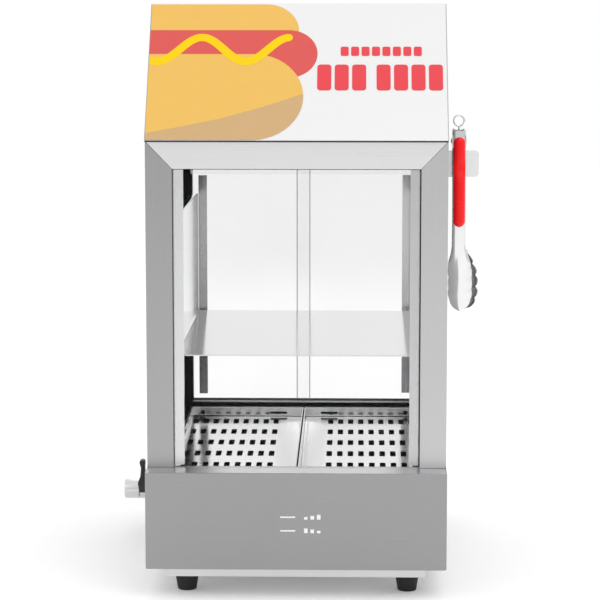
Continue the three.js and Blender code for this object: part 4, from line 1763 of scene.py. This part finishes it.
@dataclass
class Header:
    """The sloped white header and the hot dog printed on it."""

    lip: float = 18.0
    sheet: float = 1.2
    layer: float = 0.07
    box: Box = field(init=False)
    length: float = field(init=False)
    along: Vector = field(init=False)
    out: Vector = field(init=False)

    def __post_init__(self) -> None:
        """Find the slope: its length, the way up it and the way out of it."""
        self.box = Box.of("header_panel")
        run = self.front_edge() - self.box.lo.y
        self.length = math.hypot(run, self.box.size.z)
        self.along = Vector((0.0, run, self.box.size.z)).normalized()
        self.out = Vector((0.0, -self.along.z, self.along.y))

    def build(self, shop: Workshop) -> None:
        """Make and dress the header and its print.

        Args:
            shop: The workshop.
        """
        box = self.box
        path = [(box.lo.y + self.lip * MM, box.lo.z), (box.lo.y, box.lo.z),
                (self.front_edge(), box.hi.z)]
        panel = bent_sheet("header_sheet", Plane.SIDE, path, -self.sheet * MM, box.lo.x,
                           box.hi.x, 1.2 * MM)
        shop.replace(soften(panel, 0.4 * MM, 3), WHITE_COAT, "header_panel")
        for side in Side:
            shop.add(self.trim(side), BASE_STEEL, "header_panel", "steel")
        for level, (name, ink, outlines) in enumerate(self.artwork(), start=1):
            shop.add(self.printed(name, outlines, level), ink, "header_panel")

    def front_edge(self) -> float:
        """Where the slope meets the roof, along Y.

        Returns:
            The place.
        """
        return Box.of("roof_panel").lo.y - 0.3 * MM - self.sheet * MM * 1.24

    def trim(self, side: Side) -> bpy.types.Object:
        """Make the thin edge of the side sheet that shows beside the slope.

        Args:
            side: The side that it runs along.

        Returns:
            The piece.
        """
        start, end, sunk, proud = 0.5, 171.0, -0.3, 0.12
        edge = self.box.lo.x if side is Side.LEFT else self.box.hi.x
        inner = edge - side.value * 0.8 * MM
        corner = Vector((0.0, self.box.lo.y, self.box.lo.z))
        outline = []
        for along, out in ((start, sunk), (start, proud), (end, proud), (end, sunk)):
            spot = corner + self.along * (along * MM) + self.out * (out * MM)
            outline.append((spot.y, spot.z))
        return prism(f"header_trim_{side.tag}", Plane.SIDE, outline, min(edge, inner),
                     max(edge, inner))

    def printed(self, name: str, outlines: Sequence[Sequence[Point2]], level: int) -> (
            bpy.types.Object):
        """Lay flat shapes on the slope.

        Args:
            name: The piece's name.
            outlines: Shapes in millimetres across from the middle and up the slope.
            level: The layer's number, counted out from the sheet.

        Returns:
            The piece.
        """
        corner = Vector((self.box.centre.x, self.box.lo.y, self.box.lo.z))
        parts = []
        for outline in outlines:
            rings = []
            for out in (0.02, level * self.layer):
                rings.append([
                    tuple(corner + Vector((x * MM, 0, 0)) + self.along * (v * MM)
                          + self.out * (out * MM)) for x, v in outline
                ])
            parts.append(loft("print", rings))
        return join(name, parts)

    def artwork(self) -> list[tuple[str, Ink, list[list[Point2]]]]:
        """The print: a hot dog that runs off the left edge, and two rows of plain blocks.

        Returns:
            Each layer's name, ink and outlines.
        """
        left = -self.box.size.x / 2 / MM + 0.7
        top = self.length / MM - 1.0
        crown = [(left, 132.0), (1.0, 132.0), *arc((-33.5, top - 34.5), 34.5, 0, 90, 14),
                 (left, top)]
        link = [(left, 79.0), *arc((-9.5, 107.6), 30.0, -88, 90, 24), (left, 137.6)]
        heel = [(left, 1.2), *self.round_end(-90, 90), (left, 107.2)]
        shade = [(left, 9.5), (-118.0, 17.5), (-79.0, 27.0), (-38.0, 40.5), (-14.0, 49.5),
                 (6.0, 58.0), *reversed(self.round_end(-90, 2)), (left, 1.2)]
        return [
            ("print_crown", INK_BUN, [crown]),
            ("print_sausage", INK_SAUSAGE, [link]),
            ("print_heel", INK_BUN, [heel]),
            ("print_shade", INK_SHADE, [shade]),
            ("print_mustard", INK_MUSTARD, [self.wave(left)]),
            ("print_blocks", INK_RED, [*self.blocks(44.5, 128.5, 105.0, 11.5, [8], 2.6),
                                       *self.blocks(20.5, 150.0, 62.0, 32.0, [3, 4], 3.6)]),
        ]

    @staticmethod
    def round_end(start: float, end: float) -> list[Point2]:
        """The lower bun's round right end.

        Args:
            start: The first angle in degrees.
            end: The last angle in degrees.

        Returns:
            The points between them, anticlockwise.
        """
        return [(-46.0 + 52.3 * x, 54.2 + 53.0 * y) for x, y in arc((0, 0), 1.0, start, end, 24)]

    @staticmethod
    def wave(left: float) -> list[Point2]:
        """The mustard: a wavy band of even width.

        Args:
            left: Where the band starts.

        Returns:
            Its outline.
        """
        end, steps, half = -10.0, 48, 4.6
        line = []
        for i in range(steps + 1):
            x = left + (end - left) * i / steps
            swing = 13.0 * math.cos(math.tau * (x + 100.0) / 92.0)
            line.append(Vector((x, 113.0 + 1.17 * swing)))
        upper, lower = [], []
        for i, spot in enumerate(line):
            ahead = (line[min(i + 1, steps)] - line[max(i - 1, 0)]).normalized()
            across = Vector((-ahead.y, ahead.x)) * half
            upper.append((max(left, spot.x + across.x), spot.y + across.y))
            lower.append((max(left, spot.x - across.x), spot.y - across.y))
        return [*lower, *arc(tuple(line[-1]), half, -60, 60, 6), *reversed(upper)]

    @staticmethod
    def blocks(
        x0: float, x1: float, low: float, high: float, words: Sequence[int], gap: float
    ) -> list[list[Point2]]:
        """Plain rounded blocks in a row, grouped, where words would stand.

        Args:
            x0: The row's left end.
            x1: Its right end.
            low: Its lower edge.
            high: Its height.
            words: The number of blocks in each group.
            gap: The gap between blocks.

        Returns:
            Each block's outline.
        """
        spaces = len(words) - 1
        width = (x1 - x0 - gap * (sum(words) - 1) - spaces * gap * 2) / sum(words)
        outlines = []
        x = x0
        for count in words:
            for _ in range(count):
                corner = min(width, high) * 0.22
                outlines.append(rounded_box(x, x + width, low, low + high, corner, 4))
                x += width + gap
            x += gap * 2
        return outlines


@dataclass
class Doors:
    """The two lapped glass doors, their pull strips and the black tracks."""

    def build(self, shop: Workshop) -> None:
        """Dress the doors and tracks.

        Args:
            shop: The workshop.
        """
        for side in Side:
            shop.keep(f"door_{side.tag}", DOOR_GLASS, 0.9)
            shop.add(self.ground_edge(side), GROUND_EDGE, f"door_{side.tag}")
            # The right pull's steel is lighter, to paint light onto it in the cabinet's shade.
            pull = LEFT_PULL_STEEL if side is Side.LEFT else RIGHT_PULL_LIT_STEEL
            shop.keep(f"door_pull_{side.tag}", pull, 0.6)
        # A thin light steel strip along the lower track's top gives the light line there.
        shop.add(self.track_cap(), RIGHT_CHANNEL_LIT_STEEL, "door_track_bottom", "steel")
        shop.keep("door_track_bottom", TRACK_BLACK, 0.5)
        shop.keep("door_track_top", CLEAR_TRACK, 0.5)

    def ground_edge(self, side: Side) -> bpy.types.Object:
        """Make the ground edge of a pane, where it laps over the other one.

        Args:
            side: The pane's side.

        Returns:
            The piece.
        """
        box = Box.of(f"door_{side.tag}")
        edge = box.hi.x if side is Side.LEFT else box.lo.x
        ends = sorted((edge, edge + side.value * 0.8 * MM))
        outline = rounded_box(ends[0], ends[1], box.lo.y - 0.05 * MM, box.hi.y + 0.05 * MM,
                              0.3 * MM, 3)
        return prism(f"ground_edge_{side.tag}", Plane.TOP, outline, box.lo.z, box.hi.z)

    def track_cap(self) -> bpy.types.Object:
        """Make a thin light steel strip along the top of the lower track's inner wall.

        Returns:
            The piece.
        """
        box = Box.of("door_track_bottom")
        outline = rounded_box(box.lo.y - 0.2 * MM, box.lo.y + 1.2 * MM, box.hi.z - 1.7 * MM,
                              box.hi.z + 0.15 * MM, 0.15 * MM, 3)
        return prism("track_cap", Plane.SIDE, outline, box.lo.x, box.hi.x)


# ------------------------------------------------------------------ tongs
@dataclass
class Tongs:
    """Scalloped serving tongs, hung astride the bracket plate on the right side."""

    width: float = 14.7
    sheet: float = 1.1
    flange: float = 3.6
    leaf_half: float = 12.7
    leaf_top: float = 358.0
    teeth: int = 6
    grip_width: float = 12.6
    stands: tuple[Point2, ...] = (
        (479.0, 9.5), (456.0, 10.5), (430.0, 13.5), (395.0, 16.5), (360.0, 15.8),
        (330.0, 13.8), (300.0, 12.6), (286.0, 12.5),
    )
    ear: float = 6.0
    x: float = field(init=False)
    y: float = field(init=False)
    pivot: float = field(init=False)
    top: float = field(init=False)
    tip: float = field(init=False)

    def __post_init__(self) -> None:
        """Find the pivot pin and the ends of the arms."""
        self.x, self.y, self.pivot = Box.of("tong_pivot_pin").centre
        arm = Box.of("tong_arm_front")
        self.tip, self.top = arm.lo.z, arm.hi.z

    def build(self, shop: Workshop) -> None:
        """Make and dress the tongs and their bracket.

        Args:
            shop: The workshop.
        """
        bracket = Box.of("tong_bracket")
        shop.replace(self.bracket(bracket), BRACKET_STEEL, "tong_bracket")
        for name, z in (("low", bracket.lo.z + 8 * MM), ("high", bracket.hi.z - 8 * MM)):
            place = Vector((bracket.lo.x + 1.5 * MM, bracket.lo.y + 15 * MM, z))
            shop.add(screw(f"bracket_screw_{name}", place, (1, 0, 0)), NICKEL, "tong_bracket")
        for end, side, inset in (("front", -1, 0.0), ("rear", 1, 1.3)):
            node = f"tong_arm_{end}"
            swing = self.head_swing(Box.of(node))
            # The rear arm takes the darker steel that paints its shade.
            steel = TONG_STEEL if end == "front" else REAR_TONG_SHADED_STEEL
            shop.replace(self.arm(end, side, swing, inset), steel, node)
            shop.replace(self.grip(end, side, inset), RED_GRIP, f"tong_grip_{end}")
        shop.replace(self.pin(), NICKEL, "tong_pivot_pin")
        shop.replace(self.spring(), NICKEL, "tong_spring")
        shop.replace(self.ring(Box.of("tong_pull_ring")), POLISHED_AND_HIGHLIGHT, "tong_pull_ring")

    def head_swing(self, box: Box) -> float:
        """How far an arm's head stands to the right of the arm, in metres.

        Args:
            box: The arm's box.

        Returns:
            The distance.
        """
        return box.hi.x - self.leaf_half * MM - self.x

    def stand(self, z: float) -> float:
        """How far an arm stands from the middle plane at a height, in metres.

        Args:
            z: The height in metres.

        Returns:
            The distance, on a smooth curve through the named stands.
        """
        height = z / MM
        knots = self.stands
        for i in range(len(knots) - 1):
            (z0, s0), (z1, s1) = knots[i], knots[i + 1]
            if height >= z1:
                before = knots[max(i - 1, 0)]
                after = knots[min(i + 2, len(knots) - 1)]
                m0 = (s1 - before[1]) / (z1 - before[0]) * (z1 - z0)
                m1 = (after[1] - s0) / (after[0] - z0) * (z1 - z0)
                t = min(max((height - z0) / (z1 - z0), 0.0), 1.0)
                blend = ((2 * t ** 3 - 3 * t ** 2 + 1) * s0 + (t ** 3 - 2 * t ** 2 + t) * m0
                         + (3 * t ** 2 - 2 * t ** 3) * s1 + (t ** 3 - t ** 2) * m1)
                return blend * MM
        return knots[-1][1] * MM

    def half_width(self, z: float, base: float, depth: float) -> float:
        """The arm's half width at a height, with the leaf's scallops.

        Args:
            z: The height in metres.
            base: The arm's plain half width in metres.
            depth: The scallops' depth in millimetres.

        Returns:
            The half width in metres.
        """
        t = (self.leaf_top * MM - z) / (self.leaf_top * MM - self.tip)
        if t <= 0:
            return base
        ease = smooth(t / 0.38)
        swell = base + (self.leaf_half * MM - base) * ease
        notch = abs(math.cos(math.pi * t * self.teeth)) ** 6
        scallop = depth * MM * ease * notch
        close = math.sqrt(max(0.0, 1 - ((t - 0.72) / 0.28) ** 2)) if t > 0.72 else 1.0
        return max((swell - scallop) * close, 0.6 * MM)

    def arm(self, end: str, side: int, swing: float, inset: float) -> bpy.types.Object:
        """Make one arm: a channel that opens out into a cupped, scalloped leaf.

        Args:
            end: The arm's name.
            side: -1 for the front arm and 1 for the rear one.
            swing: How far the leaf stands to the right.
            inset: How much narrower than the other arm each edge is, in millimetres.

        Returns:
            The piece.
        """
        base = (self.width / 2 - inset) * MM
        leaf_top = self.leaf_top * MM
        rings = []
        steps, across = 96, 16
        for i in range(steps + 1):
            z = self.top + (self.tip - self.top) * (i / steps)
            t = min(1.0, max(0.0, (leaf_top - z) / (leaf_top - self.tip)))
            ease = smooth(t / 0.4)
            middle = self.x + swing * min(1.0, t / 0.5)
            half = self.half_width(z, base, 0.5 if side < 0 else 2.2)
            power = 8.0 - 5.4 * ease
            depth = self.flange * MM * (1 + 0.15 * ease) * min(1.0, half / (4 * MM))
            dish = 2.6 * MM * max(0.0, 1 - i / 5)
            outer, inner = [], []
            for k in range(across + 1):
                u = -1 + 2 * k / across
                u = math.copysign(abs(u) ** 0.75, u)
                dip = depth * abs(u) ** power
                ridge = 0.9 * MM * ease * max(0.0, 1 - abs(u) * 3) * (1 - t)
                drop = dish * (1 - u * u)
                outer.append((middle + half * u, dip - ridge, z - drop))
                slim = max(half - self.sheet * MM * min(1.0, abs(u) ** 4), 0.3 * MM) / half
                inner.append((middle + half * u * slim, dip - ridge + self.sheet * MM, z - drop))
            stand = self.stand(z)
            loop = [*outer, *reversed(inner)]
            rings.append([(x, self.y + side * (stand - d), up) for x, d, up in loop])
        leaf = loft("leaf", rings)
        root = self.y + side * 9.2 * MM
        first, last = (270, 90) if side > 0 else (90, -90)
        outline = [
            (root, self.pivot - 6.5 * MM),
            *arc((self.y, self.pivot), self.ear * MM, first, last, 10),
            (root, self.pivot + 6.5 * MM),
        ]
        ears = []
        for edge in (-1, 1):
            x = self.x + edge * base
            ears.append(prism("ear", Plane.SIDE, outline, x, x - edge * 1.0 * MM))
        return join(f"tong_channel_{end}", [leaf, *ears])

    def grip(self, end: str, side: int, inset: float) -> bpy.types.Object:
        """Make one grip: a domed strip with round ends and a thumb rest.

        Args:
            end: The arm's name.
            side: -1 for the front arm and 1 for the rear one.
            inset: How much narrower the grip is, in millimetres.

        Returns:
            The piece.
        """
        box = Box.of(f"tong_grip_{end}")
        low, high = box.lo.z - 1.0 * MM, box.hi.z + 1.5 * MM
        width = (self.grip_width - inset) * MM
        rings = []
        steps, across = 120, 12
        for i in range(steps + 1):
            z = low + (high - low) * i / steps
            near_end = min(z - low, high - z)
            cap = math.sqrt(max(0.02, 1 - max(0.0, 1 - near_end / (width / 2)) ** 2))
            rest = math.exp(-((z - 438 * MM) / (9 * MM)) ** 2)
            ribs = 0.5 * max(0.0, math.sin(z / MM * 1.25)) if z < 404 * MM else 0.0
            thick = (4.9 - 2.3 * rest - ribs) * MM * (0.35 + 0.65 * cap)
            half = width / 2 * cap * (1 + 0.02 * rest)
            back = self.stand(z) + 0.3 * MM
            loop = []
            for k in range(across + 1):
                u = -1 + 2 * k / across
                dome = thick * (1 - abs(u) ** 3.2 * 0.85)
                loop.append((self.x + half * u, self.y + side * (back + dome), z))
            loop.append((self.x + half, self.y + side * back, z))
            loop.append((self.x - half, self.y + side * back, z))
            rings.append(loop)
        return loft(f"grip_pad_{end}", rings)

    def pin(self) -> bpy.types.Object:
        """Make the pivot pin with two domed rivet heads.

        Returns:
            The piece.
        """
        half = (self.width / 2 + 0.3) * MM
        profile = [
            (0.4 * MM, -half - 1.1 * MM), (1.8 * MM, -half - 0.9 * MM),
            (2.9 * MM, -half - 0.3 * MM), (3.0 * MM, -half), (1.9 * MM, -half),
            (1.9 * MM, half), (3.0 * MM, half), (2.9 * MM, half + 0.3 * MM),
            (1.8 * MM, half + 0.9 * MM), (0.4 * MM, half + 1.1 * MM),
        ]
        return turned("rivet_pin", profile, (self.x, self.y, self.pivot), (1, 0, 0), 32)

    def spring(self) -> bpy.types.Object:
        """Make the coil spring round the pin, with a leg against each arm.

        Returns:
            The piece.
        """
        wire, radius, turns, pitch = 0.7 * MM, 5.6 * MM, 5, 1.6 * MM
        start = self.x - turns * pitch / 2
        path = [Vector((start - 0.2 * MM, self.y - 8.3 * MM, self.pivot - 4.0 * MM))]
        steps = turns * 16
        for i in range(steps + 1):
            angle = math.tau * i / 16 + math.pi
            path.append(Vector((start + pitch * turns * i / steps,
                                self.y + radius * math.cos(angle),
                                self.pivot + radius * math.sin(angle))))
        path.append(Vector((start + turns * pitch + 0.2 * MM, self.y - 6.4 * MM,
                            self.pivot + 5.5 * MM)))
        return tube("coil_spring", path, wire, 8)

    def ring(self, box: Box) -> bpy.types.Object:
        """Make the pull ring and its stem.

        Args:
            box: The ring's box.

        Returns:
            The piece.
        """
        wire = 1.0 * MM
        radius = box.size.x / 2 - wire
        centre = Vector((self.x, self.y, box.hi.z - wire - radius))
        path = [centre + radius * Vector((math.cos(a), 0, math.sin(a)))
                for a in (math.tau * i / 40 for i in range(40))]
        loop = tube("loop", path, wire, 10, joined=True)
        stem = turned("stem", [(0.8 * MM, 0), (1.2 * MM, 0.4 * MM),
                               (1.2 * MM, centre.z - radius - box.lo.z)],
                      (self.x, self.y, box.lo.z), (0, 0, 1), 16)
        return join("lock_ring", [loop, stem])

    def bracket(self, box: Box) -> bpy.types.Object:
        """Make the bracket: a plate with round outer corners, folded back along the side.

        Args:
            box: The bracket's box.

        Returns:
            The piece.
        """
        t = 1.5 * MM
        path = [(box.lo.x, box.hi.y), (box.lo.x, box.lo.y), (box.hi.x, box.lo.y)]
        plate = bent_sheet("bracket_plate", Plane.TOP, path, t, box.lo.z, box.hi.z, 2 * MM)
        corner = 4.0 * MM
        cutters = []
        for z, sign in ((box.lo.z, 1), (box.hi.z, -1)):
            centre = (box.hi.x - corner, z + sign * corner)
            turn = arc(centre, corner, -90 if sign > 0 else 90, 0, 6)
            outline = [*turn, (box.hi.x + 1 * MM, z + sign * corner),
                       (box.hi.x + 1 * MM, z - sign * 1 * MM),
                       (box.hi.x - corner, z - sign * 1 * MM)]
            cutters.append(prism("corner", Plane.FRONT, outline, box.lo.y - 1 * MM,
                                 box.lo.y + 4 * MM))
        return soften(cut(plate, cutters), 0.3 * MM, 2)


# ------------------------------------------------------------------ the studio
@dataclass
class Studio:
    """A pale floor, soft lights and the camera."""

    distance: float = 2346.0
    eye: Point2 = (60.4, 612.4)
    aim: Point2 = (4.3, 311.8)
    lens: float = 139.9
    horizon: float = 0.72
    zenith: float = 1.0

    def build(self, shop: Workshop) -> None:
        """Set the stage.

        Args:
            shop: The workshop, which the stage leaves unused.
        """
        self.camera()
        self.floor()
        self.world()
        self.light("key", (0.9, -1.6, 2.2), (0.0, 0.0, 0.3), 1.6, 11.0)
        self.light("fill", (-1.8, -1.2, 1.2), (0.0, 0.0, 0.3), 1.8, 4.0)
        self.light("back", (0.2, 1.9, 1.7), (0.0, 0.0, 0.4), 1.8, 6.0)
        view = bpy.context.scene.view_settings
        view.view_transform = "Standard"
        view.look = "None"

    def camera(self) -> None:
        """Place the camera, counted from the middle of the base's front face."""
        front = Box.of("base_front")
        face = Vector((front.centre.x, front.lo.y + 0.8 * MM, 0.0))
        data = bpy.data.cameras.new("view")
        data.lens = self.lens
        data.sensor_width = 36.0
        camera = bpy.data.objects.new("view", data)
        bpy.context.scene.collection.objects.link(camera)
        camera.location = face + Vector((self.eye[0], -self.distance, self.eye[1])) * MM
        target = face + Vector((self.aim[0], 0.0, self.aim[1])) * MM
        camera.rotation_euler = (target - camera.location).to_track_quat("-Z", "Y").to_euler()
        bpy.context.scene.camera = camera

    def floor(self) -> None:
        """Lay the pale floor."""
        size = 6.0
        mesh = bpy.data.meshes.new("floor")
        mesh.from_pydata([(-size, -size, 0), (size, -size, 0), (size, size, 0), (-size, size, 0)],
                         [], [(0, 1, 2, 3)])
        floor = make_object("floor", mesh)
        material, _, shader = new_material("pale_floor")
        shader.inputs["Base Color"].default_value = (0.94, 0.94, 0.94, 1.0)
        shader.inputs["Roughness"].default_value = 0.7
        shader.inputs["Emission Color"].default_value = (1.0, 1.0, 1.0, 1.0)
        shader.inputs["Emission Strength"].default_value = 0.13
        mesh.materials.append(material)

    def world(self) -> None:
        """Light the room softly: white behind the object, dimmer at the horizon than above."""
        world = bpy.data.worlds.new("studio")
        world.use_nodes = True
        nodes = Nodes(world.node_tree)
        background = world.node_tree.nodes["Background"]
        background.inputs["Color"].default_value = (1.0, 1.0, 1.0, 1.0)
        split = nodes.add("ShaderNodeSeparateXYZ")
        nodes.link(nodes.add("ShaderNodeTexCoord").outputs["Generated"], split.inputs[0])
        above = nodes.range(split.outputs["Z"], 0.0, 0.8, self.horizon, self.zenith)
        behind = nodes.range(split.outputs["Y"], 0.0, 0.5, self.horizon, self.zenith)
        seen = nodes.add("ShaderNodeLightPath").outputs["Is Camera Ray"]
        nodes.link(nodes.math("MAXIMUM", nodes.math("MAXIMUM", above, behind), seen),
                   background.inputs["Strength"])
        bpy.context.scene.world = world

    def light(self, name: str, place: Point3, target: Point3, size: float, power: float) -> None:
        """Hang a soft light.

        Args:
            name: Its name.
            place: Where it hangs, in metres.
            target: The point it faces.
            size: Its width in metres.
            power: Its power in watts.
        """
        data = bpy.data.lights.new(name, "AREA")
        data.size = size
        data.energy = power
        lamp = bpy.data.objects.new(name, data)
        bpy.context.scene.collection.objects.link(lamp)
        lamp.location = place
        lamp.rotation_euler = (Vector(target) - Vector(place)).to_track_quat("-Z", "Y").to_euler()


def main() -> None:
    """Build the studio, then each sub-assembly in order."""
    logging.basicConfig(level=logging.INFO, format="%(message)s")
    shop = Workshop()
    for assembly in (
        Studio(), Feet(), Base(), Heater(), DrainTap(), Controls(), SteamTray(Side.LEFT),
        SteamTray(Side.RIGHT), BunRack(), Cabinet(), Header(), Doors(), Tongs(),
    ):
        assembly.build(shop)


if __name__ == "__main__":
    main()
